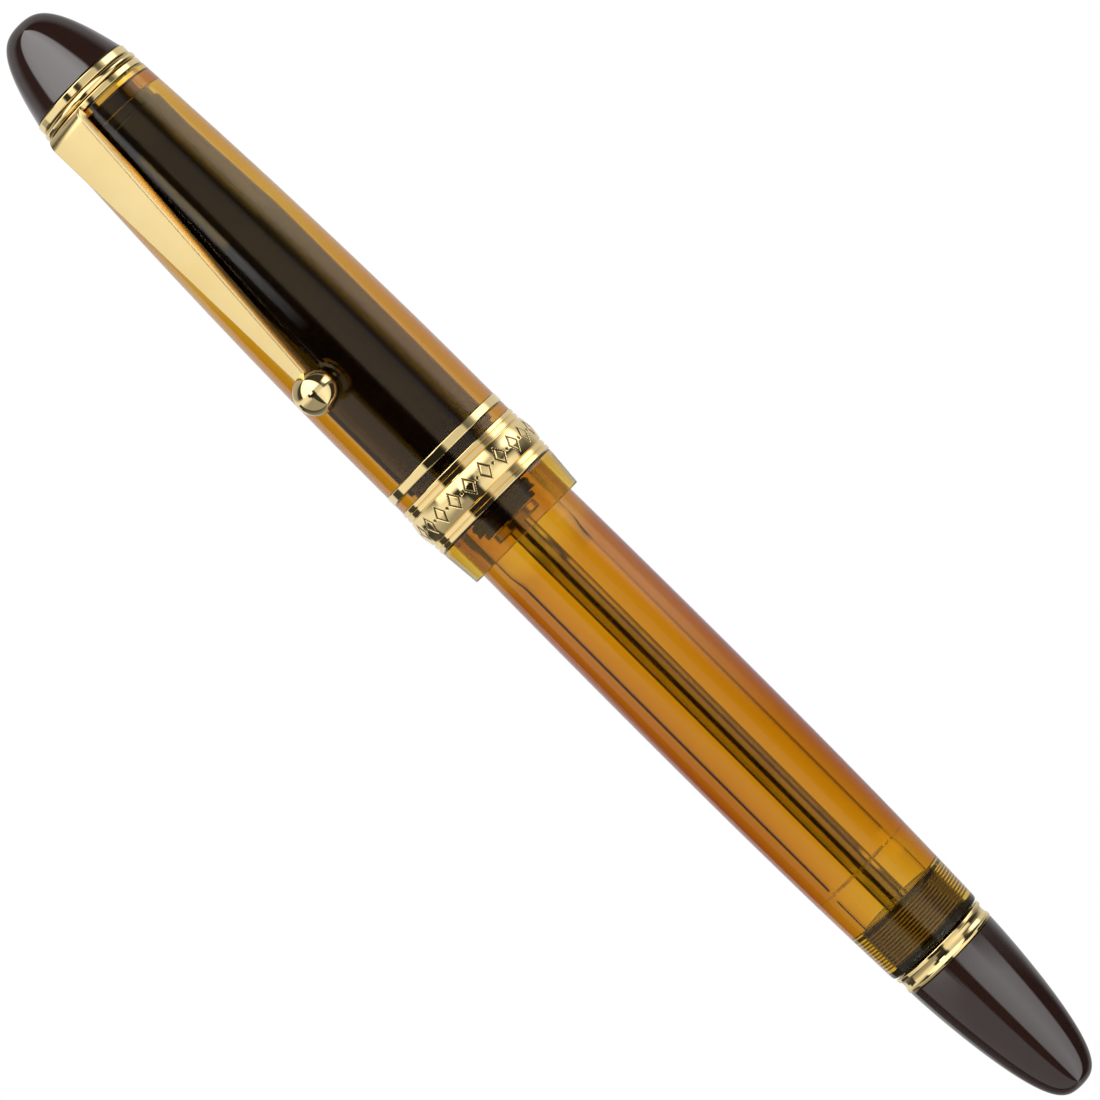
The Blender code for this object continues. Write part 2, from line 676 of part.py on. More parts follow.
def nib_line(along):
    """The nib at a share of its length from the tip: half width, curve radius, ridge height."""
    total = NIB_EXPOSED_LENGTH + NIB_HEEL_LENGTH
    ridge_share = min(1.0, along * total / NIB_EXPOSED_LENGTH) ** NIB_RIDGE_POWER
    ridge = NIB_TIP_HEIGHT + (NIB_RIDGE_HEIGHT - NIB_TIP_HEIGHT) * ridge_share
    shoulder = NIB_SHOULDER_AT * NIB_EXPOSED_LENGTH / total
    if along < shoulder:
        rise = math.sin(along / shoulder * math.pi / 2) ** NIB_SHOULDER_POWER
        half_width = NIB_TIP_HALF_WIDTH + (NIB_SHOULDER_HALF_WIDTH - NIB_TIP_HALF_WIDTH) * rise
        curve = ridge + (NIB_SHOULDER_CURVE_RADIUS - NIB_RIDGE_HEIGHT) * rise
    else:
        fall = min(1.0, (along - shoulder) / (NIB_EXPOSED_LENGTH / total - shoulder))
        fall = fall * fall * (3 - 2 * fall)
        half_width = NIB_SHOULDER_HALF_WIDTH + (NIB_HEEL_HALF_WIDTH - NIB_SHOULDER_HALF_WIDTH) * fall
        curve = ridge + (NIB_SHOULDER_CURVE_RADIUS - NIB_RIDGE_HEIGHT) * (1 - fall)
    return half_width, curve, ridge


def nib():
    """A curved plate, flat across at the shoulders and half a tube at its heel, given its thickness."""
    rows, columns = NIB_ROWS, NIB_COLUMNS
    total = NIB_EXPOSED_LENGTH + NIB_HEEL_LENGTH
    points = []
    for row in range(rows + 1):
        along = (row / rows) ** NIB_ROW_POWER
        half_width, curve, ridge = nib_line(along)
        for column in range(columns + 1):
            angle = half_width / curve * (2 * column / columns - 1)
            across = curve * math.sin(angle)
            height = ridge - curve * (1 - math.cos(angle))
            points.append((across * MM, -height * MM, (NIB_TIP - along * total) * MM))
    faces = []
    for row in range(rows):
        for column in range(columns):
            first = row * (columns + 1) + column
            faces.append((first, first + 1, first + columns + 2, first + columns + 1))
    mesh = bpy.data.meshes.new("nib")
    mesh.from_pydata(points, [], faces)
    shape = bmesh.new()
    shape.from_mesh(mesh)
    upward = sum((face.normal.y for face in shape.faces))
    if upward > 0:
        bmesh.ops.reverse_faces(shape, faces=shape.faces)
    shape.to_mesh(mesh)
    shape.free()
    mesh.shade_smooth()
    plate = add("nib", mesh, NIB_GOLD, PEN_BODY)
    wall = plate.modifiers.new("thickness", "SOLIDIFY")
    wall.thickness = NIB_THICKNESS * MM
    wall.offset = -1.0
    return plate


def feed():
    """A tapering rod that follows the underside of the nib."""
    total = NIB_EXPOSED_LENGTH + NIB_HEEL_LENGTH
    first = FEED_SETBACK / total
    outer = []
    for step in range(CURVE_STEPS + 1):
        along = first + (1 - first) * step / CURVE_STEPS
        ridge = nib_line(along)[2]
        outer.append((ridge - NIB_THICKNESS - 2 * FIT, NIB_TIP - along * total))
    heel = outer[-1][1]
    profile = [(0.0, outer[0][1] + FEED_POINT), *outer, (0.0, heel)]
    return turned("feed", profile, EBONITE, PEN_BODY, SMALL_FACETS, closed=False)


# ---------------------------------------------------------------- barrel and rear plug
def barrel():
    front = BARREL_FRONT
    root = NECK_THREAD_RADIUS - THREAD_DEPTH
    threads = ridges(NECK_THREAD_RADIUS, THREAD_DEPTH, front - EDGE, THREAD_PITCH, THREAD_RIDGES)
    neck_end = threads[-1][1] - SEAT
    shoulder = [(root, neck_end), (BARREL_FRONT_RADIUS - FINE_EDGE, neck_end - EDGE)]
    steps = [LIP - BARREL_BODY_LENGTH * i / (2 * CURVE_STEPS) for i in range(2 * CURVE_STEPS)]
    body = [(barrel_radius(z), z) for z in steps]
    tail = [
        (BARREL_TAIL_RADIUS, BARREL_END + EDGE),
        (BARREL_TAIL_RADIUS - EDGE, BARREL_END),
    ]
    relief = CHAMBER_RADIUS + REAR_RELIEF_DEPTH
    plug_seat = PLUG_FRONT + FIT
    oring_floor = BARREL_FRONT - ORING_SEAT_DEPTH
    front_chamber_end = TENON_END - FRONT_CHAMBER_LENGTH
    bore = [
        (PLUG_SEAT_RADIUS, BARREL_END),
        (PLUG_SEAT_RADIUS, plug_seat),
        (relief, plug_seat),
        (relief, plug_seat + REAR_RELIEF_LENGTH),
        (CHAMBER_RADIUS, plug_seat + REAR_RELIEF_LENGTH + CHAMBER_STEP),
        (CHAMBER_RADIUS, front_chamber_end - CHAMBER_STEP),
        (FRONT_CHAMBER_RADIUS, front_chamber_end),
        (TENON_RADIUS + FIT, TENON_END - FIT),
        (TENON_RADIUS + FIT, oring_floor),
        (TENON_RADIUS + ORING_ROOM, oring_floor),
        (TENON_RADIUS + ORING_ROOM, front),
    ]
    return turned("barrel", [(root, front)] + threads + shoulder + body + tail + bore, AMBER, PEN_BODY)


def rear_plug():
    """The threaded plug closes the barrel, and its nipple takes the knob and the rod's packing."""
    crest = PLUG_RADIUS
    pitch = (PLUG_LENGTH - EDGE - 2 * SEAT) / PLUG_RIDGES
    threads = ridges(crest, THREAD_DEPTH / 2, PLUG_FRONT - EDGE, pitch, PLUG_RIDGES)
    pocket = NIPPLE_END + 2 * PACKING_HEIGHT + 3 * SEAT
    profile = [
        (crest - EDGE, PLUG_FRONT),
        *threads,
        (crest, PLUG_SHOULDER + SEAT),
        (crest, PLUG_SHOULDER),
        (NIPPLE_RADIUS, PLUG_SHOULDER),
        (NIPPLE_RADIUS, NIPPLE_END + EDGE),
        (NIPPLE_RADIUS - EDGE, NIPPLE_END),
        (PACKING_RADIUS + FIT, NIPPLE_END),
        (PACKING_RADIUS + FIT, pocket),
        (ROD_HOLE_RADIUS, pocket),
        (ROD_HOLE_RADIUS, PLUG_FRONT),
    ]
    return turned("rear_plug", profile, BROWN_RESIN, PEN_BODY)


def rear_seals():
    gasket_top = PLUG_SHOULDER - SEAT
    ring(
        "plug_gasket",
        gasket_top,
        GASKET_HEIGHT - SEAT,
        PLUG_RADIUS,
        0.0,
        NIPPLE_RADIUS + FIT,
        RUBBER,
        PEN_BODY,
    )
    nut_top = NIPPLE_END + PACKING_HEIGHT
    seal_top = nut_top + SEAT + PACKING_HEIGHT
    for name, top, paint in (("packing_nut", nut_top, BRASS), ("rod_seal", seal_top, RUBBER)):
        profile = [
            (PACKING_RADIUS, top),
            (PACKING_RADIUS, top - PACKING_HEIGHT),
            (ROD_HOLE_RADIUS, top - PACKING_HEIGHT),
            (ROD_HOLE_RADIUS, top),
        ]
        turned(name, profile, paint, PEN_BODY, SMALL_FACETS)


# ---------------------------------------------------------------- plunger
def plunger():
    rod = [(0.0, ROD_TOP), (ROD_RADIUS, ROD_TOP), (ROD_RADIUS, ROD_BOTTOM), (0.0, ROD_BOTTOM)]
    turned("plunger_rod", rod, STEEL, PLUNGER_BODY, SMALL_FACETS, closed=False)
    head = [
        (0.0, HEAD_TOP),
        (HEAD_RADIUS - EDGE, HEAD_TOP),
        (HEAD_RADIUS, HEAD_TOP - EDGE),
        (HEAD_RADIUS, HEAD_BOTTOM),
        (ROD_HOLE_RADIUS, HEAD_BOTTOM),
        (ROD_HOLE_RADIUS, ROD_TOP + SEAT),
        (0.0, ROD_TOP + SEAT),
    ]
    turned("plunger_head", head, EBONITE, PLUNGER_BODY, closed=False)
    nut_top = HEAD_BOTTOM - SEAT
    nut = [
        (HEAD_NUT_RADIUS, nut_top),
        (HEAD_NUT_RADIUS, HEAD_NUT_BOTTOM),
        (ROD_HOLE_RADIUS, HEAD_NUT_BOTTOM),
        (ROD_HOLE_RADIUS, nut_top),
    ]
    turned("plunger_nut", nut, STEEL, PLUNGER_BODY)
    seal_top = (HEAD_TOP + HEAD_BOTTOM + SEAL_HEIGHT) / 2
    seal = [
        (SEAL_RADIUS, seal_top),
        (SEAL_RADIUS - SEAL_DRAFT, seal_top - SEAL_HEIGHT),
        (HEAD_RADIUS + FIT, seal_top - SEAL_HEIGHT),
        (HEAD_RADIUS + FIT, seal_top),
    ]
    turned("plunger_seal", seal, RUBBER, PLUNGER_BODY)
    valve = [
        (0.0, VALVE_TOP),
        (INK_CHANNEL_RADIUS - FIT, VALVE_TOP),
        (VALVE_RADIUS - FIT, HEAD_TOP + SEAT),
        (0.0, HEAD_TOP + SEAT),
    ]
    turned("valve_tip", valve, RUBBER, PLUNGER_BODY, SMALL_FACETS, closed=False)


# ---------------------------------------------------------------- knob
def knob():
    shape = dome(KNOB_RADIUS, KNOB_LENGTH, KNOB_FLATNESS, KNOB_BLUNTNESS)
    outer = [(radius, KNOB_END + along) for radius, along in reversed(shape)]
    socket_floor = ROD_BOTTOM - 2 * SEAT
    socket = [(SOCKET_RADIUS, KNOB_TOP), (KNOB_RADIUS, KNOB_TOP)]
    floor = [(0.0, socket_floor), (SOCKET_RADIUS, socket_floor)]
    turned("blind_cap", floor + socket + outer[1:], DARK_RESIN, KNOB_BODY, closed=False)
    half = TAIL_RING_HEIGHT / 2
    tail_ring = [
        (TAIL_RING_RADIUS - FINE_EDGE, TAIL_RING_TOP),
        (TAIL_RING_RADIUS, TAIL_RING_TOP - FINE_EDGE),
        (TAIL_RING_RADIUS, TAIL_RING_TOP - half + FINE_EDGE),
        (TAIL_RING_RADIUS - TAIL_RING_DIP, TAIL_RING_TOP - half - FINE_EDGE),
        (TAIL_RING_RADIUS - FINE_EDGE, TAIL_RING_BOTTOM),
        (INSERT_BORE_RADIUS, TAIL_RING_BOTTOM),
        (INSERT_BORE_RADIUS, TAIL_RING_TOP),
    ]
    turned("tail_ring", tail_ring, GOLD, KNOB_BODY)
    insert = [
        (INSERT_RADIUS, INSERT_TOP),
        (INSERT_RADIUS, INSERT_BOTTOM),
        (ROD_HOLE_RADIUS, INSERT_BOTTOM),
        (ROD_HOLE_RADIUS, INSERT_CEILING),
        (INSERT_BORE_RADIUS, INSERT_CEILING),
        (INSERT_BORE_RADIUS, INSERT_TOP),
    ]
    turned("knob_insert", insert, BRASS, KNOB_BODY)
    nut = [
        (ROD_NUT_RADIUS, ROD_NUT_TOP),
        (ROD_NUT_RADIUS, ROD_NUT_BOTTOM),
        (ROD_HOLE_RADIUS, ROD_NUT_BOTTOM),
        (ROD_HOLE_RADIUS, ROD_NUT_TOP),
    ]
    turned("rod_nut", nut, BRASS, KNOB_BODY, SMALL_FACETS)


finial()
crown_rings()
finial_stud()
cap_tube()
cap_bands()
inner_cap()
clip_washer()
clip_arm()
clip_ball_centre = (0.0, -(CLIP_BALL_RADIUS + FIT), 0.0)
ball("clip_ball", CLIP_BALL_RADIUS, clip_ball_centre, GOLD, CLIP_BODY)
grip_section()
section_trim()
nib()
tipping_centre = (0.0, AXIS_DISTANCE - NIB_TIP_HEIGHT, NIB_TIP + TIPPING_RADIUS + FIT)
ball("nib_tipping", TIPPING_RADIUS, tipping_centre, STEEL, PEN_BODY, TIPPING_FACETS)
feed()
barrel()
rear_plug()
rear_seals()
plunger()
knob()
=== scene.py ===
"""The finished look of a capped fountain pen with a plunger filler.

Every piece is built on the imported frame: its length comes from the box of the node that it stands
for, and its outline from the named sizes below. Lengths are millimetres and MM turns them into
metres. Turned pieces are worked out round the pen's axis and then carried out to it.
"""

import math

import bpy
import numpy as np
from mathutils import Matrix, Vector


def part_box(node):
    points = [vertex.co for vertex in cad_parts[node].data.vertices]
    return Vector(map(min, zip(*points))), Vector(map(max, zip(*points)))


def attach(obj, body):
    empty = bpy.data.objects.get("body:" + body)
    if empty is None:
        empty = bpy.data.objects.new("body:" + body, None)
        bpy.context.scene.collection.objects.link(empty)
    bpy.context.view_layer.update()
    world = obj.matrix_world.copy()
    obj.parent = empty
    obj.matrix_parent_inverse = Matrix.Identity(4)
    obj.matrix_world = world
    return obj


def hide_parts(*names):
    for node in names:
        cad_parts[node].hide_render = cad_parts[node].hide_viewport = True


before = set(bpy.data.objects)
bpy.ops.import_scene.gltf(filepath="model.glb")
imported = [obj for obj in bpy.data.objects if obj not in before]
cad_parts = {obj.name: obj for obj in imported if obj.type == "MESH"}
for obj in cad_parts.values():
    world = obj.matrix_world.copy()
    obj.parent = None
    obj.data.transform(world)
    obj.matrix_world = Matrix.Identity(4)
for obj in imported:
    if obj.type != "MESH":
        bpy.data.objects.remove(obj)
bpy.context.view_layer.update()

MM = 0.001
AROUND = 192
FINE_AROUND = 1056
TURN = 2 * math.pi
NEARLY_ZERO = 1e-6
# Edges turned by more than this many degrees are kept sharp
SHARP = 35.0
# Room left between pieces that fit together, and the usual rounding of their edges
ROOM = 0.1
EDGE = 0.1
FINE_EDGE = 0.05

# ---- places read from the frame


def span(node):
    """(bottom, top) of a node along the pen."""
    low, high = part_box(node)
    return low[2] / MM, high[2] / MM


def reach(node):
    """The outer radius of a turned node."""
    low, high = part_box(node)
    return (high[0] - low[0]) / 2 / MM


CAP_MOUTH, CAP_TOP = span("cap_tube")
BARREL_BOTTOM, BARREL_TOP = span("barrel")
CAP_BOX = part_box("cap_tube")
AXIS = (CAP_BOX[0][1] + CAP_BOX[1][1]) / 2 / MM
CAP_RADIUS = reach("cap_tube")

# ---- meshes


def as_mesh(name, points, faces, cut_and_sheen_mask=None, sharp=SHARP):
    """A mesh piece from points in millimetres and faces, smooth but for edges over sharp degrees.
    The mask gives, from 0 to 1, how deep in an engraving each point lies, and on the plug's thread how
    far up a crest, where a painted reflection goes."""
    mesh = bpy.data.meshes.new(name)
    mesh.from_pydata((points * MM).tolist(), [], faces)
    mesh.shade_smooth()
    mesh.set_sharp_from_angle(angle=math.radians(sharp))
    if cut_and_sheen_mask is not None:
        mask = mesh.attributes.new("cut_and_sheen_mask", "FLOAT", "POINT")
        mask.data.foreach_set("value", cut_and_sheen_mask.astype(np.float32).ravel())
    piece = bpy.data.objects.new(name, mesh)
    bpy.context.scene.collection.objects.link(piece)
    return piece


def grid_faces(rows, columns, wrap_rows=False, wrap_columns=False):
    """Quads of a grid of points numbered row by row, joined end to end where it wraps."""
    row = np.arange(rows if wrap_rows else rows - 1)[:, None]
    column = np.arange(columns if wrap_columns else columns - 1)[None, :]
    below = (row + 1) % rows * columns
    beside = (column + 1) % columns
    row = row * columns
    quads = np.stack([row + column, below + column, below + beside, row + beside], axis=-1)
    return quads.reshape(-1, 4).tolist()


def end_faces(middle, first, columns, last=False):
    """Triangles that join one middle point to a ring of points that starts at first, turned the
    other way for the last ring of a grid."""
    here = np.arange(columns)
    following = (here + 1) % columns
    tip = np.full(columns, middle)
    corners = [first + here, tip, first + following] if last else [tip, first + here, first + following]
    return np.stack(corners, axis=-1).tolist()


def lathe(name, *sections, around=AROUND, cut_and_sheen_mask=None):
    """A turned piece. The sections are joined into one outline of (radius, height) rows, down the
    outer side and up the bore. A section of (rows, around, 2) varies round the piece, as a thread
    does. The point of the surface is (radius cos angle, radius sin angle + AXIS, height). An end
    of the outline on the axis becomes one point, and an outline with no such end is a ring."""
    rows = [s if s.ndim == 3 else np.repeat(s[:, None, :], around, axis=1) for s in sections]
    outline = np.concatenate(rows)
    on_axis = outline[:, 0, 0] < NEARLY_ZERO
    starts, ends = bool(on_axis[0]), bool(on_axis[-1])
    inner = outline[int(starts) : len(outline) - int(ends)]
    angle = np.arange(around) * TURN / around
    radius, height = inner[..., 0], inner[..., 1]
    grid = np.stack([radius * np.cos(angle), radius * np.sin(angle) + AXIS, height], axis=-1)
    points = grid.reshape(-1, 3)
    faces = grid_faces(len(inner), around, not (starts or ends), True)
    if starts:
        faces += end_faces(len(points), 0, around)
        points = np.vstack([points, [0.0, AXIS, outline[0, 0, 1]]])
    if ends:
        faces += end_faces(len(points), (len(inner) - 1) * around, around, last=True)
        points = np.vstack([points, [0.0, AXIS, outline[-1, 0, 1]]])
    return as_mesh(name, points, faces, cut_and_sheen_mask)


def eased(*corners, steps=5, lead=0.4):
    """An outline through (radius, height, ease) corners, taken as a loop. Each corner is rounded
    by a quadratic curve that starts and ends ease away from it, with one more point a lead of the
    ease outside either end, so that the flats beside it stay flat. An outline that goes on into
    another one starts and ends with a corner of no ease."""
    places = np.array([corner[:2] for corner in corners], float)
    share = np.linspace(0.0, 1.0, steps)[:, None]
    rows = []
    for i, (place, ease) in enumerate(zip(places, (corner[2] for corner in corners))):
        if not ease:
            rows.append(place[None, :])
            continue
        before = places[(i - 1) % len(places)] - place
        after = places[(i + 1) % len(places)] - place
        before, after = before / np.linalg.norm(before), after / np.linalg.norm(after)
        start, end = place + before * ease, place + after * ease
        bend = (1 - share) ** 2 * start + 2 * share * (1 - share) * place + share**2 * end
        rows += [start[None, :] + before * lead * ease, bend, end[None, :] + after * lead * ease]
    return np.concatenate(rows)


def curve(radius_at, top, bottom, rows):
    """An outline down a curved side, with radius_at giving the radius at each height."""
    height = np.linspace(top, bottom, rows)
    return np.stack([radius_at(height), height], axis=-1)


def smooth_step(value, low, high):
    """0 below low, 1 above high, and 3s^2 - 2s^3 between."""
    share = np.clip((value - low) / (high - low), 0.0, 1.0)
    return share * share * (3 - 2 * share)


def thread(root, depth, top, bottom, pitch, per_turn=12, flank=0.85, run_out=0.35):
    """Rows of a screw thread down a cylinder. The radius is the root plus depth times a rounded
    trapezoid of the phase height / pitch - angle / turn, steeper for a larger flank, and the
    ridge runs out to nothing over run_out of a pitch at either end."""
    height = np.linspace(top, bottom, int(abs(top - bottom) / pitch * per_turn) + 2)[:, None]
    turn = np.arange(AROUND)[None, :] / AROUND
    phase = height / pitch - turn
    ridge = np.clip(0.5 + flank * np.cos(TURN * phase), 0.0, 1.0)
    from_end = np.minimum(abs(height - top), abs(height - bottom))
    ridge = ridge * smooth_step(from_end, 0.0, run_out * pitch)
    return np.stack(np.broadcast_arrays(root + depth * ridge, height), axis=-1)


# ---- shader groups and finishes


def add_node(tree, kind, values=(), **settings):
    """A node with its settings, and its inputs set from (name or number, value) pairs."""
    made = tree.nodes.new(kind)
    for key, value in settings.items():
        setattr(made, key, value)
    for socket, value in values:
        made.inputs[socket].default_value = value
    return made


def new_group(name, inputs, outputs):
    """A shader node group with named sockets, given as (name, kind, starting value)."""
    group = bpy.data.node_groups.new(name, "ShaderNodeTree")
    for label, kind, start in inputs:
        socket = group.interface.new_socket(label, in_out="INPUT", socket_type=kind)
        socket.default_value = start
    for label, kind in outputs:
        group.interface.new_socket(label, in_out="OUTPUT", socket_type=kind)
    return group, group.nodes.new("NodeGroupInput"), group.nodes.new("NodeGroupOutput")


def polish_group():
    """Hand polish: the roughness drifts between two values over the surface, fine wipe marks add
    to it, and a faint waviness of the surface is given as a normal."""
    inputs = [
        ("Drift Scale", "NodeSocketFloat", 120.0),
        ("Mark Scale", "NodeSocketFloat", 1500.0),
        ("Smoothest", "NodeSocketFloat", 0.02),
        ("Roughest", "NodeSocketFloat", 0.08),
        ("Waviness", "NodeSocketFloat", 0.1),
    ]
    outputs = [("Roughness", "NodeSocketFloat"), ("Normal", "NodeSocketVector")]
    group, given, result = new_group("hand_polish", inputs, outputs)
    place = add_node(group, "ShaderNodeTexCoord")
    drift = add_node(group, "ShaderNodeTexNoise", [("Detail", 3.0)])
    marks = add_node(group, "ShaderNodeTexNoise", [("Detail", 2.0), ("Roughness", 0.7)])
    both = add_node(group, "ShaderNodeMath", [(1, 0.35)], operation="MULTIPLY_ADD")
    spread = add_node(group, "ShaderNodeMapRange", [("From Min", 0.35), ("From Max", 0.95)])
    bump = add_node(group, "ShaderNodeBump", [("Distance", 0.0002)])
    link = group.links.new
    for noise, scale in ((drift, "Drift Scale"), (marks, "Mark Scale")):
        link(place.outputs["Object"], noise.inputs["Vector"])
        link(given.outputs[scale], noise.inputs["Scale"])
    link(marks.outputs["Fac"], both.inputs[0])
    link(drift.outputs["Fac"], both.inputs[2])
    link(both.outputs[0], spread.inputs["Value"])
    link(given.outputs["Smoothest"], spread.inputs["To Min"])
    link(given.outputs["Roughest"], spread.inputs["To Max"])
    link(spread.outputs["Result"], result.inputs["Roughness"])
    link(drift.outputs["Fac"], bump.inputs["Height"])
    link(given.outputs["Waviness"], bump.inputs["Strength"])
    link(bump.outputs["Normal"], result.inputs["Normal"])
    return group


def tone_group():
    """A colour that drifts between two tones over the surface."""
    inputs = [
        ("Deep", "NodeSocketColor", (0.0, 0.0, 0.0, 1.0)),
        ("Light", "NodeSocketColor", (1.0, 1.0, 1.0, 1.0)),
        ("Scale", "NodeSocketFloat", 90.0),
    ]
    group, given, result = new_group("tone_drift", inputs, [("Colour", "NodeSocketColor")])
    place = add_node(group, "ShaderNodeTexCoord")
    noise = add_node(group, "ShaderNodeTexNoise", [("Detail", 4.0), ("Roughness", 0.6)])
    spread = add_node(group, "ShaderNodeMapRange", [("From Min", 0.3), ("From Max", 0.7)])
    mix = add_node(group, "ShaderNodeMix", data_type="RGBA")
    link = group.links.new
    link(place.outputs["Object"], noise.inputs["Vector"])
    link(given.outputs["Scale"], noise.inputs["Scale"])
    link(noise.outputs["Fac"], spread.inputs["Value"])
    link(spread.outputs["Result"], mix.inputs["Factor"])
    link(given.outputs["Deep"], mix.inputs["A"])
    link(given.outputs["Light"], mix.inputs["B"])
    link(mix.outputs["Result"], result.inputs["Colour"])
    return group


def cut_and_sheen_group():
    """Colour of an engraved surface: the first colour on the face, the second down in the cuts, and on
    the plug's thread the second is a painted reflection along the crests.
    """
    inputs = [
        ("Face", "NodeSocketColor", (1.0, 1.0, 1.0, 1.0)),
        ("Cut And Sheen", "NodeSocketColor", (0.0, 0.0, 0.0, 1.0)),
    ]
    group, given, result = new_group("cuts_and_painted_sheen", inputs, [("Colour", "NodeSocketColor")])
    # The attribute is the depth of an engraving, and on the plug's thread the height up a crest, where
    # the painted reflection lies.
    depth = add_node(group, "ShaderNodeAttribute", attribute_name="cut_and_sheen_mask")
    mix = add_node(group, "ShaderNodeMix", data_type="RGBA")
    link = group.links.new
    link(depth.outputs["Fac"], mix.inputs["Factor"])
    link(given.outputs["Face"], mix.inputs["A"])
    link(given.outputs["Cut And Sheen"], mix.inputs["B"])
    link(mix.outputs["Result"], result.inputs["Colour"])
    return group


POLISH = polish_group()
TONE = tone_group()
CUT_AND_SHEEN = cut_and_sheen_group()


def place_group(tree, group, values):
    made = tree.nodes.new("ShaderNodeGroup")
    made.node_tree = group
    for socket, value in values:
        made.inputs[socket].default_value = value
    return made


def finish(name, deep, light, polish, tone_scale=90.0, cut=None, **constants):
    """A Principled finish whose colour drifts from deep to light and whose polish is
    (drift scale, mark scale, smoothest, roughest, waviness). Constants go on its own sockets."""
    made = bpy.data.materials.new(name)
    made.use_nodes = True
    tree = made.node_tree
    shader = tree.nodes["Principled BSDF"]
    for label, value in constants.items():
        shader.inputs[label.replace("_", " ")].default_value = value
    tone = [("Deep", (*deep, 1.0)), ("Light", (*light, 1.0)), ("Scale", tone_scale)]
    colour = place_group(tree, TONE, tone)
    names = ("Drift Scale", "Mark Scale", "Smoothest", "Roughest", "Waviness")
    surface = place_group(tree, POLISH, zip(names, polish))
    link = tree.links.new
    # The cut colour goes in engravings, and on the plug it is a painted reflection along the thread
    # crests.
    if cut:
        face = colour
        colour = place_group(tree, CUT_AND_SHEEN, [("Cut And Sheen", (*cut, 1.0))])
        link(face.outputs["Colour"], colour.inputs["Face"])
    link(colour.outputs["Colour"], shader.inputs["Base Color"])
    if "Roughness" not in constants:
        link(surface.outputs["Roughness"], shader.inputs["Roughness"])
    link(surface.outputs["Normal"], shader.inputs["Normal"])
    return made


def clear_resin(name, deep, light, polish, tint, density):
    """A clear resin: glass-like, with the light dimmed by tint over the depth that it crosses."""
    dimmed = (0.65, 0.65, 0.65, 1.0)
    constants = {"Transmission_Weight": 1.0, "IOR": 1.5, "Roughness": 0.0, "Specular_Tint": dimmed}
    made = finish(name, deep, light, polish, tone_scale=60.0, **constants)
    tree = made.node_tree
    depth = add_node(tree, "ShaderNodeVolumeAbsorption")
    depth.inputs["Color"].default_value = (*tint, 1.0)
    depth.inputs["Density"].default_value = density
    tree.links.new(depth.outputs["Volume"], tree.nodes["Material Output"].inputs["Volume"])
    return made


# Polishes: drift scale, mark scale, smoothest, roughest, waviness
MIRROR = (110.0, 1600.0, 0.02, 0.05, 0.03)
BURNISHED = (150.0, 1800.0, 0.1, 0.2, 0.1)
SATIN = (110.0, 1600.0, 0.2, 0.22, 0.03)
MOULDED_CLEAR = (90.0, 900.0, 0.0, 0.01, 0.02)
MOULDED = (90.0, 1200.0, 0.03, 0.05, 0.02)
TURNED_DULL = (260.0, 2200.0, 0.25, 0.4, 0.25)
RUBBERY = (300.0, 2600.0, 0.5, 0.68, 0.4)

AMBER = clear_resin(
    "amber_resin", (0.97, 0.96, 0.94), (1.0, 1.0, 1.0), MOULDED_CLEAR, (0.907, 0.759, 0.037), 1350.0
)
PLUG_RESIN = finish(
    "brown_resin",
    (0.035, 0.02, 0.008),
    (0.05, 0.03, 0.012),
    MOULDED,
    # This cut colour is a painted reflection, a pale gold line along the plug's thread crests.
    cut=(0.42, 0.3, 0.16),
    IOR=1.7,
)
DARK = finish("dark_resin", (0.016, 0.0055, 0.0035), (0.023, 0.0085, 0.0055), MOULDED, IOR=2.0)
LINER = finish(
    "dark_liner",
    (0.008, 0.005, 0.003),
    (0.013, 0.008, 0.005),
    MOULDED,
    IOR=1.3,
    Specular_IOR_Level=0.4,
)
GRIP = finish("grip_resin", (0.012, 0.006, 0.004), (0.018, 0.009, 0.006), MOULDED, IOR=1.38)
GOLD = finish(
    "gold_plate",
    (0.9, 0.68, 0.3),
    (0.96, 0.76, 0.38),
    MIRROR,
    cut=(0.1, 0.055, 0.015),
    Metallic=1.0,
)
CLIP_GOLD = finish("clip_gold", (0.9, 0.68, 0.3), (0.96, 0.76, 0.38), SATIN, Metallic=1.0)
NIB_GOLD = finish(
    "nib_gold",
    (0.86, 0.64, 0.3),
    (0.93, 0.73, 0.38),
    BURNISHED,
    cut=(0.03, 0.018, 0.006),
    Metallic=1.0,
)
STEEL = finish("polished_steel", (0.5, 0.49, 0.48), (0.62, 0.61, 0.6), BURNISHED, 200.0, Metallic=1.0)
BRASS = finish("turned_brass", (0.6, 0.44, 0.19), (0.75, 0.58, 0.28), TURNED_DULL, 250.0, Metallic=1.0)
RUBBER = finish(
    "black_rubber",
    (0.014, 0.014, 0.015),
    (0.026, 0.026, 0.027),
    RUBBERY,
    400.0,
    Specular_IOR_Level=0.2,
)
FEED_PLASTIC = finish("feed_plastic", (0.01, 0.009, 0.009), (0.02, 0.018, 0.018), TURNED_DULL, 300.0)

SLOTS = {
    "amber_resin": AMBER,
    "brown_resin": PLUG_RESIN,
    "dark_resin": DARK,
    "gold_plate": GOLD,
    "nib_gold": NIB_GOLD,
    "steel": STEEL,
    "brass": BRASS,
    "rubber": RUBBER,
    "feed_plastic": FEED_PLASTIC,
}


def fit(piece, body, slot, *nodes, paint=None):
    """Gives a piece its finish and its place in the frame: its body, its slot and its nodes."""
    piece.data.materials.append(paint or SLOTS[slot])
    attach(piece, body)
    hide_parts(*nodes)
    return piece


# ---- cap: finial and rings
STUD_HOLE = 4.2
FINIAL_BLUNTNESS = 0.335
FINIAL_EDGE = 0.06
FINIAL_ROWS = 72
# How strongly the rows of a dome crowd towards its tip
FINIAL_CROWDING = 2.2
BULGE_ROWS = 25


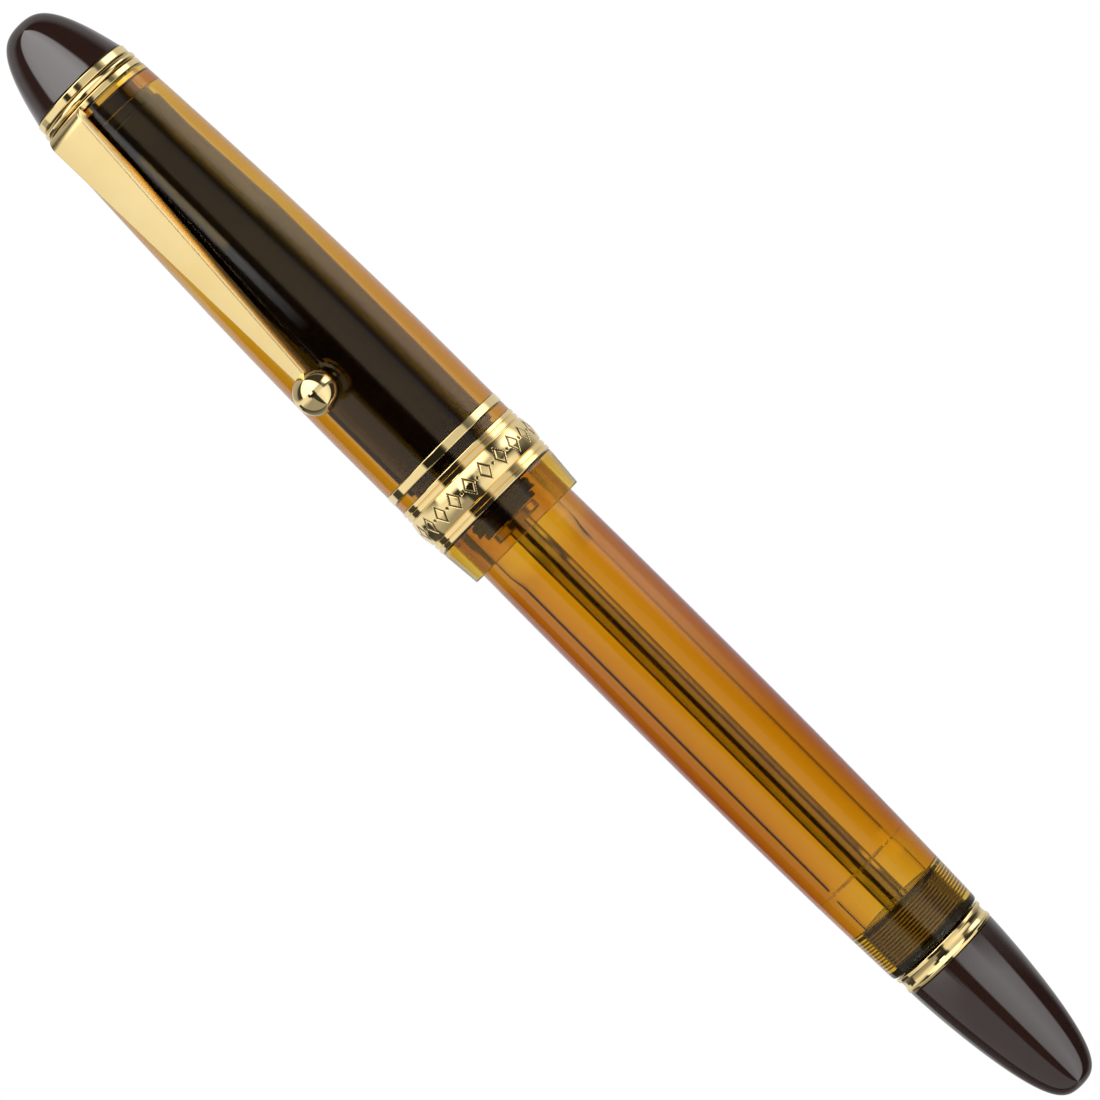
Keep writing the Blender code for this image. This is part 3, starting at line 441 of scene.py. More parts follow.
def make_finial():
    """A blunt bullet: its radius is the base radius times the share of the length from the tip to
    the power of its bluntness. Its bore takes the stud."""
    bottom, top = span("finial")
    along = np.linspace(0.0, 1.0, FINIAL_ROWS) ** FINIAL_CROWDING
    radius = reach("finial") * along**FINIAL_BLUNTNESS
    dome = np.stack([radius, top - along * (top - bottom)], axis=-1)
    bore_top = span("finial_stud")[1] + ROOM
    foot = eased(
        (reach("finial") - FINIAL_EDGE, bottom, 0.0),
        (STUD_HOLE, bottom, 0.0),
        (STUD_HOLE, bore_top, EDGE),
        (0.0, bore_top, 0.0),
    )
    dome[-1, 1] = bottom + FINIAL_EDGE
    fit(lathe("finial_shell", dome, foot), "cap", "dark_resin", "finial")


def make_ring(name, node, body, slot, bulge=0.0, ease=EDGE, bore=STUD_HOLE, squeeze=0.0):
    """A ring with eased edges. A bulge rounds its outer face out by a half ellipse of that depth,
    and a seal is squeezed out against its seat."""
    bottom, top = span(node)
    radius = reach(node) + squeeze
    if bulge:
        half, middle = (top - bottom) / 2, (top + bottom) / 2
        angle = np.linspace(math.pi / 2, -math.pi / 2, BULGE_ROWS)
        out = radius - bulge + bulge * np.cos(angle)
        outer = np.stack([out, middle + half * np.sin(angle)], axis=-1)
        rows = [outer, eased((bore, bottom, 0.0), (bore, top, 0.0))]
    else:
        corners = ((radius, top, ease), (radius, bottom, ease), (bore, bottom, 0.0), (bore, top, 0.0))
        rows = [eased(*corners)]
    fit(lathe(name, *rows), body, slot, node)


# ---- cap: tube
TAPER_START = CAP_MOUTH + 16.9
TAPER_POWER = 1.8
CAP_TOP_RADIUS = 6.03
CAP_TOP_EDGE = 0.12
BAND_GROOVE = 6.94
BAND_ROOM = 0.03
GROOVE_EDGE = 0.02
# The lip: a small shoulder under the wide band, then a cone down to the mouth
SHOULDER_GAP = 0.5
SHOULDER_EDGE = 0.15
LIP_LENGTH = 4.4
LIP_RADIUS = 7.05
MOUTH_RADIUS = 6.35
LEAD_IN = 0.25
CAP_THREAD_ROOT = 6.1
CAP_THREAD_DEPTH = 0.3
CAP_THREAD_TURNS = 3
THREAD_PITCH = 0.7
CAP_BORE = 5.75
CAP_TOP_BORE = 5.1
# How far below the cap's top the bore starts to narrow and where its upper part begins
NARROWING_DEPTH = 19.15
NECK_DEPTH = 7.2
CAP_END_WALL = 2.2
RECESS_RADIUS = 5.3
RECESS_DEPTH = 0.7
NOTCH_DEPTH = 0.69
NOTCH_WIDTH = 2.6
RIM_HEIGHT = 0.3


def cap_radius(height):
    """Straight near the mouth, then drawn in by a power of the share of the taper."""
    share = np.clip((height - TAPER_START) / (CAP_TOP - TAPER_START), 0.0, 1.0)
    return CAP_RADIUS - (CAP_RADIUS - CAP_TOP_RADIUS) * share**TAPER_POWER


def band_groove(node):
    """The step cut in the cap for a band, with a sliver of room above and below it."""
    bottom, top = span(node)
    top, bottom = top + BAND_ROOM, bottom - BAND_ROOM
    return eased(
        (CAP_RADIUS, top + ROOM, 0.0),
        (CAP_RADIUS, top, GROOVE_EDGE),
        (BAND_GROOVE, top, GROOVE_EDGE),
        (BAND_GROOVE, bottom, GROOVE_EDGE),
        (CAP_RADIUS, bottom, GROOVE_EDGE),
        (CAP_RADIUS, bottom - ROOM, 0.0),
    )


def make_cap_tube():
    """The resin tube: a tapering outside with steps for the two bands, a lip that draws in and
    rounds over, a screw thread in its mouth and a smooth bore that narrows twice towards the top.
    The clip's tongue passes a notch in its top edge."""
    top_edge = eased(
        (RECESS_RADIUS, CAP_TOP, 0.0),
        (CAP_TOP_RADIUS, CAP_TOP, CAP_TOP_EDGE),
        (CAP_TOP_RADIUS, CAP_TOP - 5.0, 0.0),
    )
    side = curve(cap_radius, CAP_TOP - 1.2, TAPER_START, 60)
    shoulder = span("wide_cap_band")[0] - SHOULDER_GAP
    thread_bottom = CAP_MOUTH + LIP_LENGTH + LEAD_IN
    lip = eased(
        (CAP_RADIUS, shoulder + 0.25, 0.0),
        (CAP_RADIUS, shoulder, SHOULDER_EDGE),
        (LIP_RADIUS, CAP_MOUTH, CAP_TOP_EDGE),
        (MOUTH_RADIUS, CAP_MOUTH, EDGE),
        (MOUTH_RADIUS, thread_bottom - 0.4, FINE_EDGE),
        (CAP_THREAD_ROOT, thread_bottom - 0.15, 0.0),
    )
    thread_top = thread_bottom + CAP_THREAD_TURNS * THREAD_PITCH
    threads = thread(CAP_THREAD_ROOT, -CAP_THREAD_DEPTH, thread_bottom, thread_top, THREAD_PITCH)
    recess = CAP_TOP - RECESS_DEPTH
    bore = eased(
        (CAP_THREAD_ROOT, thread_top + 0.1, 0.0),
        (CAP_BORE, thread_top + 0.4, EDGE),
        (CAP_BORE, CAP_TOP - NARROWING_DEPTH, 1.0),
        (CAP_TOP_BORE, CAP_TOP - NECK_DEPTH, 1.0),
        (CAP_TOP_BORE, CAP_TOP - CAP_END_WALL, EDGE),
        (STUD_HOLE, CAP_TOP - CAP_END_WALL, EDGE),
        (STUD_HOLE, recess, EDGE),
        (RECESS_RADIUS, recess, FINE_EDGE),
        (RECESS_RADIUS, CAP_TOP - 0.2, 0.0),
    )
    bands = [band_groove("narrow_cap_band"), band_groove("wide_cap_band")]
    sections = [top_edge[:-1], side, *bands, lip, threads, bore]
    rows = [s if s.ndim == 3 else np.repeat(s[:, None, :], AROUND, axis=1) for s in sections]
    outline = np.concatenate(rows)
    angle = np.arange(AROUND) * TURN / AROUND
    across = outline[..., 0] * np.cos(angle)
    in_notch = (abs(across) < NOTCH_WIDTH / 2) & (np.sin(angle) < 0)
    rim = (outline[..., 1] > CAP_TOP - RIM_HEIGHT) & (outline[..., 0] > RECESS_RADIUS - ROOM)
    outline[..., 1] -= NOTCH_DEPTH * (in_notch & rim)
    fit(lathe("cap_shell", outline), "cap", "amber_resin", "cap_tube")


LINER_WALL = 0.65
LINER_BEND = 0.8
LINER_NECK_DEPTH = 7.3
LINER_NARROWING_DEPTH = 19.35
SKIRT_WALL = 0.25
SEAL_OVERLAP = 4.0


def make_inner_cap():
    """The dark liner that seals over the section: it follows the bore, closed at its top, with a
    thin skirt below the seal."""
    bottom, top = span("inner_cap")
    radius, wall = reach("inner_cap"), LINER_WALL
    neck, narrowing = CAP_TOP - LINER_NECK_DEPTH, CAP_TOP - LINER_NARROWING_DEPTH
    upper = CAP_TOP_BORE - ROOM
    seal = span("grip_section")[1] - SEAL_OVERLAP
    rows = eased(
        (0.0, top, 0.0),
        (upper, top, 0.3),
        (upper, neck, LINER_BEND),
        (radius, narrowing, LINER_BEND),
        (radius, bottom, EDGE),
        (radius - SKIRT_WALL, bottom, EDGE),
        (radius - SKIRT_WALL, seal, EDGE),
        (radius - wall, seal, EDGE),
        (radius - wall, narrowing, LINER_BEND),
        (upper - wall, neck, LINER_BEND),
        (upper - wall, top - wall, 0.4),
        (0.0, top - wall, 0.0),
    )
    fit(lathe("cap_liner", rows), "cap", "dark_resin", "inner_cap", paint=LINER)


# ---- cap: bands
BAND_BORE = 7.04
BAND_RIM = 7.5
BAND_CROWN = 0.2
BAND_STEPS = 1.2
BAND_FIRST_STEP = 0.55
BAND_EDGE = 0.07
CROWN_ROWS = 54
GROOVE_DEPTH = 0.14
# A groove is full depth within the first distance of its middle and gone past the second
GROOVE_FLOOR = 0.03
GROOVE_REACH = 0.1
ENGRAVED_DEPTH = 0.07
LOZENGES = 22
LOZENGE_HEIGHT = 0.95
LOZENGE_WIDTH = 0.62
# The cut line's two edges, as shares of a lozenge, and the dot's two edges
LINE_EDGES = (0.1, 0.2)
DOT_EDGES = (0.12, 0.19)


def frieze(angle, offset, radius):
    """How deep the engraving is at an angle and a height from the band's middle: a row of open
    lozenges with a round dot between every two. A lozenge is where |across| / width +
    |up| / height is 1."""
    pitch = TURN / LOZENGES
    across = ((angle / pitch + 0.5) % 1.0 - 0.5) * pitch * radius
    between = ((angle / pitch) % 1.0 - 0.5) * pitch * radius
    size = abs(across) / LOZENGE_WIDTH + abs(offset) / LOZENGE_HEIGHT
    outline = 1.0 - smooth_step(abs(size - 1.0), *LINE_EDGES)
    dot = 1.0 - smooth_step(np.hypot(between, offset), *DOT_EDGES)
    return np.maximum(outline, dot)


def make_wide_band():
    """The wide band: two flat steps at either edge, parted by fine grooves, and a crowned middle
    with a frieze cut into it. The crown is a quarter wave, high in the middle. The rows of the
    grid stand close together beside each groove."""
    bottom, top = span("wide_cap_band")
    middle, half = (top + bottom) / 2, (top - bottom) / 2
    crown_half = half - BAND_STEPS
    grooves = (half - BAND_FIRST_STEP, crown_half)
    near = np.array([0.1, 0.06, 0.03, -0.03, -0.06, -0.1])
    edge = np.concatenate([[half - 0.1], *(place + near for place in grooves)])
    across = np.linspace(edge[-1] - 0.05, 0.05 - edge[-1], CROWN_ROWS)
    offset = np.concatenate([edge, across, -edge[::-1]])[:, None]
    angle = (np.arange(FINE_AROUND) * TURN / FINE_AROUND)[None, :]
    crown = BAND_CROWN * np.cos(np.clip(offset / crown_half, -1.0, 1.0) * math.pi / 2)
    from_groove = np.minimum(*(abs(abs(offset) - place) for place in grooves))
    cut = GROOVE_DEPTH * (1.0 - smooth_step(from_groove, GROOVE_FLOOR, GROOVE_REACH))
    cut_and_sheen_mask = frieze(angle, offset, BAND_RIM + BAND_CROWN)
    radius = BAND_RIM + crown - cut - ENGRAVED_DEPTH * cut_and_sheen_mask
    face = np.stack(np.broadcast_arrays(radius, middle + offset), axis=-1)
    rest = eased(
        (BAND_RIM, bottom, BAND_EDGE),
        (BAND_BORE, bottom, 0.0),
        (BAND_BORE, top, 0.0),
        (BAND_RIM, top, BAND_EDGE),
        steps=3,
    )
    closing = np.repeat(rest[:, None, :], FINE_AROUND, axis=1)
    mask = np.concatenate([np.broadcast_to(cut_and_sheen_mask, radius.shape), np.zeros(closing.shape[:2])])
    band = lathe("wide_band", face, closing, around=FINE_AROUND, cut_and_sheen_mask=mask)
    fit(band, "cap", "gold_plate", "wide_cap_band")


# ---- clip
CLIP_THICKNESS = 1.1
CLIP_DEPTH = 1.7
CLIP_ROOT_WIDTH = 5.0
CLIP_END_WIDTH = 1.3
CLIP_BEND = 1.35
CLIP_EDGE = 0.16
CLIP_STANDOFF = 2.45
# How far the arm runs on into the ball
CLIP_OVERRUN = 1.3
# The top corners are rounded off by this much over this length
CLIP_CORNER = 0.9
# The arm is at its full depth this share of the way down
CLIP_DEEPENS_BY = 0.25
CORNER_STEPS = 6
CLIP_SHARP = 40.0


def clip_line():
    """The arm's outer line as (y, z) rows, and how many of them come before the bend: it runs out
    from the hinge, round a quarter bend and straight down into the ball."""
    low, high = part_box("clip_arm")
    top, root, face_end = high[2] / MM, high[1] / MM, low[1] / MM
    bottom = span("clip_arm")[0]
    face_root = AXIS - (CAP_TOP_RADIUS + CLIP_STANDOFF)
    lean = math.atan2(face_root - face_end, top - CLIP_BEND - bottom)
    bend = np.linspace(0.0, math.pi / 2 - lean, 20)
    out = np.linspace(root, face_root + CLIP_BEND, 8)[:-1]
    run = np.stack([out, np.full(len(out), top)], axis=-1)
    bend_out = face_root + CLIP_BEND - CLIP_BEND * np.sin(bend)
    arc = np.stack([bend_out, top - CLIP_BEND + CLIP_BEND * np.cos(bend)], axis=-1)
    down_to = np.array([face_end, bottom - CLIP_OVERRUN])
    fall = arc[-1] + (down_to - arc[-1]) * np.linspace(0.0, 1.0, 60)[1:, None]
    return np.concatenate([run, arc, fall]), len(run)


def make_clip_arm():
    """The arm: a rounded box section carried along its outer line. Its width falls evenly from
    the bend to the ball, and its top corners are rounded off where it leaves the cap."""
    line, bend_at = clip_line()
    ahead = np.gradient(line, axis=0)
    ahead /= np.linalg.norm(ahead, axis=1, keepdims=True)
    outward = np.stack([ahead[:, 1], -ahead[:, 0]], axis=-1)
    steps = np.linalg.norm(np.diff(line, axis=0), axis=1)
    length = np.concatenate([[0.0], np.cumsum(steps)])
    share = np.clip((length - length[bend_at]) / (length[-1] - length[bend_at]), 0.0, 1.0)
    width = CLIP_ROOT_WIDTH + (CLIP_END_WIDTH - CLIP_ROOT_WIDTH) * share
    width = width - CLIP_CORNER * (1 - smooth_step(length, 0.0, CLIP_CORNER))
    deepening = np.clip(share / CLIP_DEEPENS_BY, 0.0, 1.0)
    thickness = CLIP_THICKNESS + (CLIP_DEPTH - CLIP_THICKNESS) * deepening
    turn = np.linspace(0.0, math.pi / 2, CORNER_STEPS)
    arcs = []
    for start, (side, inward) in enumerate(((1, 0), (1, 1), (-1, 1), (-1, 0))):
        heading = math.pi / 2 - start * math.pi / 2 - turn
        corner = [np.full(CORNER_STEPS, side), np.full(CORNER_STEPS, inward)]
        arcs.append(np.stack([*corner, np.cos(heading), np.sin(heading)], axis=-1))
    loop = np.concatenate(arcs)
    across = loop[:, 0] * (width[:, None] / 2 - CLIP_EDGE) + CLIP_EDGE * loop[:, 2]
    depth = -CLIP_EDGE - loop[:, 1] * (thickness[:, None] - 2 * CLIP_EDGE) + CLIP_EDGE * loop[:, 3]
    y = line[:, None, 0] + outward[:, None, 0] * depth
    z = line[:, None, 1] + outward[:, None, 1] * depth
    grid = np.stack([across, y, z], axis=-1)
    rows, columns = grid.shape[:2]
    middles = np.stack([grid[0].mean(axis=0), grid[-1].mean(axis=0)])
    points = np.vstack([grid.reshape(-1, 3), middles])
    faces = grid_faces(rows, columns, False, True) + end_faces(rows * columns, 0, columns)
    faces += end_faces(rows * columns + 1, (rows - 1) * columns, columns, last=True)
    arm = as_mesh("clip_bar", points, faces, sharp=CLIP_SHARP)
    fit(arm, "clip", "gold_plate", "clip_arm", paint=CLIP_GOLD)


def make_ball(name, node, body, slot, rows=48, columns=96):
    """A sphere in a node's box, as (sin rise cos angle, sin rise sin angle, cos rise)."""
    low, high = (np.array(corner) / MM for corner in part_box(node))
    centre, radius = (low + high) / 2, (high[2] - low[2]) / 2
    rise = np.linspace(0.0, math.pi, rows + 1)[1:-1, None]
    angle = (np.arange(columns) * TURN / columns)[None, :]
    across, ahead = np.sin(rise) * np.cos(angle), np.sin(rise) * np.sin(angle)
    side = np.stack(np.broadcast_arrays(across, ahead, np.cos(rise)), axis=-1)
    poles = [[0.0, 0.0, 1.0], [0.0, 0.0, -1.0]]
    points = np.vstack([side.reshape(-1, 3), *poles]) * radius + centre
    north = (rows - 1) * columns
    faces = grid_faces(rows - 1, columns, False, True) + end_faces(north, 0, columns)
    faces += end_faces(north + 1, (rows - 2) * columns, columns, last=True)
    fit(as_mesh(name, points, faces), body, slot, node)


# ---- section, nib and feed
SECTION_WAIST = 4.55
SECTION_LIP = 4.95
SECTION_REAR = 5.35
TENON = 4.3
TENON_END_BORE = 1.8
CHANNEL = 0.9
VALVE_SEAT = 1.4
NIB_BORE = 3.3
NIB_SEAT_ROOM = 0.4
# The rounded lip's share of the grip, and the shares over which the grip narrows and flares
LIP_SHARE = 0.06
NARROWING = (0.05, 0.32)
FLARE = (0.3, 1.0)


def make_section():
    """The grip: a rounded lip at its mouth, a slim waist and a slow flare to the ring, with the
    tenon that holds it in the barrel and the bores for the nib, the feed and the ink."""
    bottom, front = span("grip_section")
    rear = span("section_ring")[1] + ROOM
    length = front - rear
    share = np.linspace(LIP_SHARE, 1.0, 40)
    waist = SECTION_WAIST + (SECTION_REAR - SECTION_WAIST) * smooth_step(share, *FLARE)
    narrowing = (SECTION_LIP - SECTION_WAIST) * (1 - smooth_step(share, *NARROWING))
    side = np.stack([waist + narrowing, front - share * length], axis=-1)
    lip = eased(
        (NIB_BORE, front, 0.0),
        (SECTION_LIP, front, 0.4),
        (SECTION_LIP, front - LIP_SHARE * length - 2, 0.0),
    )
    throat, seat = span("nib")[0] - NIB_SEAT_ROOM, bottom + VALVE_SEAT
    inside = eased(
        (SECTION_REAR, rear + 0.2, 0.0),
        (SECTION_REAR, rear, 0.08),
        (TENON, rear, 0.0),
        (TENON, bottom, EDGE),
        (TENON_END_BORE, bottom, 0.0),
        (CHANNEL, seat, 0.0),
        (CHANNEL, throat, 0.0),
        (NIB_BORE, throat, 0.0),
    )
    grip = lathe("section_grip", lip[:-1], side[:-1], inside)
    fit(grip, "pen", "dark_resin", "grip_section", paint=GRIP)


NIB_EXPOSED = 22.8
NIB_RIDGE_TIP = 1.2
NIB_RIDGE = 3.2
NIB_SHOULDER_WIDTH = 4.2
NIB_SHOULDER_CURVE = 4.6
NIB_HEEL_WIDTH = 3.9
NIB_TIP_WIDTH = 0.35
NIB_WALL = 0.25
# Where the nib is widest, as a share of the length that shows
NIB_SHOULDER_AT = 0.55
BREATHER_AT = 11.5
BREATHER = 0.85
BREATHER_EDGE = 0.1
SLIT_EDGES = (0.02, 0.05)
SLIT_DEPTH = 0.18
# A fine line cut along the edge: how far in, how wide, how deep and where it starts and stops
BORDER_INSET = 0.55
BORDER_EDGES = (0.03, 0.08)
BORDER_DEPTH = 0.05
BORDER_TONE = 0.6
BORDER_START = 3.5
BORDER_END = NIB_EXPOSED - 2


def nib_line(along):
    """(half width, curve radius, ridge height) at along millimetres from the tip."""
    rising = np.minimum(1.0, along / NIB_EXPOSED) ** 0.6
    ridge = NIB_RIDGE_TIP + (NIB_RIDGE - NIB_RIDGE_TIP) * rising
    shoulder = NIB_SHOULDER_AT * NIB_EXPOSED
    rise = np.sin(np.clip(along / shoulder, 0.0, 1.0) * math.pi / 2) ** 1.3
    fall = smooth_step(along, shoulder, NIB_EXPOSED)
    half_width = NIB_TIP_WIDTH + (NIB_SHOULDER_WIDTH - NIB_TIP_WIDTH) * rise
    half_width += (NIB_HEEL_WIDTH - NIB_SHOULDER_WIDTH) * fall
    return half_width, ridge + (NIB_SHOULDER_CURVE - NIB_RIDGE) * rise * (1 - fall), ridge


def make_nib():
    """A curved plate: at each place along it the section is an arc of the curve radius, as wide
    as the half width either side. A slit runs from the tip to a round vent, a fine line follows
    the edge, and the sheet has one wall's thickness."""
    bottom, top = span("nib")
    total = top - bottom
    along = (total * np.linspace(0.0, 1.0, 220) ** 1.15)[:, None]
    evenly = np.linspace(-1, 1, 121)
    across = np.sign(evenly) * abs(evenly) ** 1.6
    half_width, radius, ridge = nib_line(along)
    swing = half_width / radius * across[None, :]
    sideways = half_width * across[None, :]
    slit = (1 - smooth_step(abs(sideways), *SLIT_EDGES)) * (along < BREATHER_AT)
    from_vent = np.hypot(sideways, along - BREATHER_AT)
    vent = 1 - smooth_step(from_vent, BREATHER - BREATHER_EDGE, BREATHER)
    from_border = abs(half_width - abs(sideways) - BORDER_INSET)
    bordered = (along > BORDER_START) * (along < BORDER_END)
    border = (1 - smooth_step(from_border, *BORDER_EDGES)) * bordered
    depth = np.maximum(SLIT_DEPTH * np.maximum(slit, vent), BORDER_DEPTH * border)
    cut_and_sheen_mask = np.maximum(np.maximum(slit, vent), BORDER_TONE * border)
    height = np.broadcast_to(top - along, swing.shape)

    def sheet(inset):
        shrunk = radius - inset
        out = AXIS - (ridge - radius) - shrunk * np.cos(swing)
        return np.stack([shrunk * np.sin(swing), out, height], axis=-1)

    outer, inner = sheet(depth), sheet(NIB_WALL)
    loop = np.concatenate([outer, inner[:, ::-1]], axis=1)
    mask = np.concatenate([cut_and_sheen_mask, np.zeros_like(cut_and_sheen_mask)], axis=1)
    rows, columns = loop.shape[:2]
    faces = grid_faces(rows, columns, False, True)
    half = columns // 2
    column = np.arange(half - 1)
    mirror = columns - 1 - column
    front = np.stack([column, column + 1, mirror - 1, mirror], axis=-1)
    back = (rows - 1) * columns + front[:, ::-1]
    points = loop.reshape(-1, 3)
    nib = as_mesh("nib_plate", points, faces + front.tolist() + back.tolist(), mask)
    fit(nib, "pen", "nib_gold", "nib")


FEED_AROUND = 72
FEED_ROWS = 420
FEED_TIP = 0.4
FEED_CLEARANCE = 0.2
COMB_PITCH = 0.55
COMB_DEPTH = 0.45
COMBS_START = 10.5
COMBS_END = 2.5


def make_feed():
    """A tapering rod under the nib whose far side is cut into thin combs: where it faces away
    from the nib its radius drops between the combs, once in every pitch."""
    bottom, top = span("feed")
    nib_top = span("nib")[1]
    height = np.linspace(top - FEED_TIP, bottom, FEED_ROWS)[:, None]
    angle = (np.arange(FEED_AROUND) * TURN / FEED_AROUND)[None, :]
    radius = nib_line(nib_top - height)[2] - NIB_WALL - FEED_CLEARANCE
    start, end = bottom + COMBS_START, top - COMBS_END
    combed = smooth_step(np.sin(angle), -0.1, 0.15) * smooth_step(height, start, start + 0.5)
    combed = combed * (1 - smooth_step(height, end, end + 0.5))
    gap = smooth_step(np.cos(TURN * height / COMB_PITCH), 0.0, 0.5)
    radius = radius - COMB_DEPTH * combed * gap
    side = np.stack(np.broadcast_arrays(radius, height), axis=-1)
    tip, heel = np.array([[0.0, top]]), np.array([[0.0, bottom]])
    combs = lathe("feed_combs", tip, side, heel, around=FEED_AROUND)
    fit(combs, "pen", "feed_plastic", "feed")


# ---- barrel and rear plug
NECK_THREAD = 5.7
BARREL_FULL = 6.25
BARREL_FRONT = 6.1
BARREL_TAIL = 5.75
CHAMBER = 4.0
FRONT_CHAMBER = 4.35
REAR_CHAMBER = 4.2
PLUG_SEAT = 4.9
ROD_HOLE = 1.5
NECK_THREAD_DEPTH = 0.3
NECK_THREAD_TURNS = 2.9
NECK_BORE = 5.0
# Where the barrel is fullest, as a share of its length behind the cap, and how fast it falls away
FULLEST_AT = 0.42
TAIL_FALL = 2.4
# The front chamber's length behind the tenon, the relief's ahead of the plug, and their tapers
FRONT_LENGTH = 7.5
RELIEF_LENGTH = 3.8
CHAMBER_TAPER = 1.6
TAIL_EDGE = 0.32


def barrel_radius(height):
    """Fullest two fifths of the way back, falling by a square towards the cap's mouth and by a
    higher power towards the tail."""
    length = CAP_MOUTH - BARREL_BOTTOM
    widest = CAP_MOUTH - FULLEST_AT * length
    ahead = np.clip((height - widest) / (CAP_MOUTH - widest), 0.0, 1.0)
    behind = np.clip((widest - height) / (widest - BARREL_BOTTOM), 0.0, 1.0)
    front_fall = (BARREL_FULL - BARREL_FRONT) * ahead**2
    return BARREL_FULL - front_fall - (BARREL_FULL - BARREL_TAIL) * behind**TAIL_FALL


def make_barrel():
    """The clear barrel: a threaded neck, a slightly swollen body, and a bore with a wider chamber
    at its front, a relief at its rear and the seats of the section's tenon and the rear plug."""
    root = NECK_THREAD - NECK_THREAD_DEPTH
    thread_top = BARREL_TOP - 0.3
    thread_bottom = thread_top - NECK_THREAD_TURNS * THREAD_PITCH
    neck = [
        eased((NECK_BORE, BARREL_TOP, 0.0), (root, BARREL_TOP, 0.15), (root, thread_top, 0.0)),
        thread(root, NECK_THREAD_DEPTH, thread_top - 0.02, thread_bottom, THREAD_PITCH),
        np.array([[root, thread_bottom - 0.1], [BARREL_FRONT - 0.15, thread_bottom - 0.3]]),
    ]
    body = curve(barrel_radius, thread_bottom - 0.45, BARREL_BOTTOM + 0.4, 110)
    plug_top = span("rear_plug")[1] + ROOM
    tenon_end = span("grip_section")[0]
    front_end = tenon_end - FRONT_LENGTH
    relief_end = plug_top + RELIEF_LENGTH
    bore = eased(
        (BARREL_TAIL, BARREL_BOTTOM, TAIL_EDGE),
        (PLUG_SEAT, BARREL_BOTTOM, 0.12),
        (PLUG_SEAT, plug_top, FINE_EDGE),
        (REAR_CHAMBER, plug_top, FINE_EDGE),
        (REAR_CHAMBER, relief_end, 0.8),
        (CHAMBER, relief_end + CHAMBER_TAPER, 0.6),
        (CHAMBER, front_end - CHAMBER_TAPER, 0.6),
        (FRONT_CHAMBER, front_end + 0.4, 0.8),
        (FRONT_CHAMBER, tenon_end - 0.3, 0.0),
        (TENON + ROOM, tenon_end - 0.1, 0.0),
        (TENON + ROOM, BARREL_TOP - 1.0, 0.0),
        (NECK_BORE, BARREL_TOP - 1.0, 0.0),
    )
    fit(lathe("barrel_shell", *neck, body, bore), "pen", "amber_resin", "barrel")


PLUG_THREAD_PITCH = 0.36
PLUG_THREAD_DEPTH = 0.15
NIPPLE_ROOT = 2.65
NIPPLE_NECK = 1.15
NIPPLE_THREAD_PITCH = 0.6
NIPPLE_THREAD_DEPTH = 0.25
PACKING_POCKET = 2.2
PACKING_DEPTH = 2.5


def make_rear_plug():
    """The plug that closes the barrel: a flat front face, a fine thread along its skirt with a painted
    reflection, a paler colour along its crests, and a slim nipple behind, which the knob screws
    onto, with the rod's hole and the packing's pocket."""
    bottom, top = span("rear_plug")
    radius = reach("rear_plug")
    shoulder = span("plug_gasket")[1] + ROOM
    root, skirt_root = NIPPLE_ROOT, radius + 0.05
    pocket = bottom + PACKING_DEPTH
    front = eased((ROD_HOLE, top, 0.0), (radius + 0.1, top, 0.12), (radius + 0.1, top - 0.5, 0.0))
    skirt = thread(skirt_root, PLUG_THREAD_DEPTH, top - 0.6, shoulder + 0.15, PLUG_THREAD_PITCH, 10)
    tail = eased(
        (radius, shoulder + 0.1, 0.0),
        (radius, shoulder, FINE_EDGE),
        (root, shoulder, EDGE),
        (root, shoulder - NIPPLE_NECK, 0.0),
    )
    nipple = thread(
        root,
        NIPPLE_THREAD_DEPTH,
        shoulder - NIPPLE_NECK - 0.05,
        bottom + 0.6,
        NIPPLE_THREAD_PITCH,
        8,
    )
    inside = eased(
        (root, bottom + 0.4, 0.0),
        (root, bottom, 0.15),
        (PACKING_POCKET, bottom, 0.0),
        (PACKING_POCKET, pocket, 0.0),
        (ROD_HOLE, pocket, 0.0),
    )
    sections = (front, skirt, tail, nipple, inside)
    # A painted reflection: the crests of the skirt thread take the paler colour, in place of light
    # mirrored in the thread.
    painted_crest_sheen = np.zeros((sum(len(part) for part in sections), AROUND))
    painted_crest_sheen[len(front) : len(front) + len(skirt)] = (skirt[..., 0] - skirt_root) / PLUG_THREAD_DEPTH
    fit(lathe("plug_body", *sections, cut_and_sheen_mask=painted_crest_sheen), "pen", "brown_resin", "rear_plug")


# ---- plunger
ROD = 1.4
SEAL_EDGE = 0.12
SEAL_GROOVE_DEPTH = 0.25
SEAL_BORE = 3.4
HEAD_NUT = 2.8
VALVE_TIP = 0.8
VALVE_BASE = 1.6


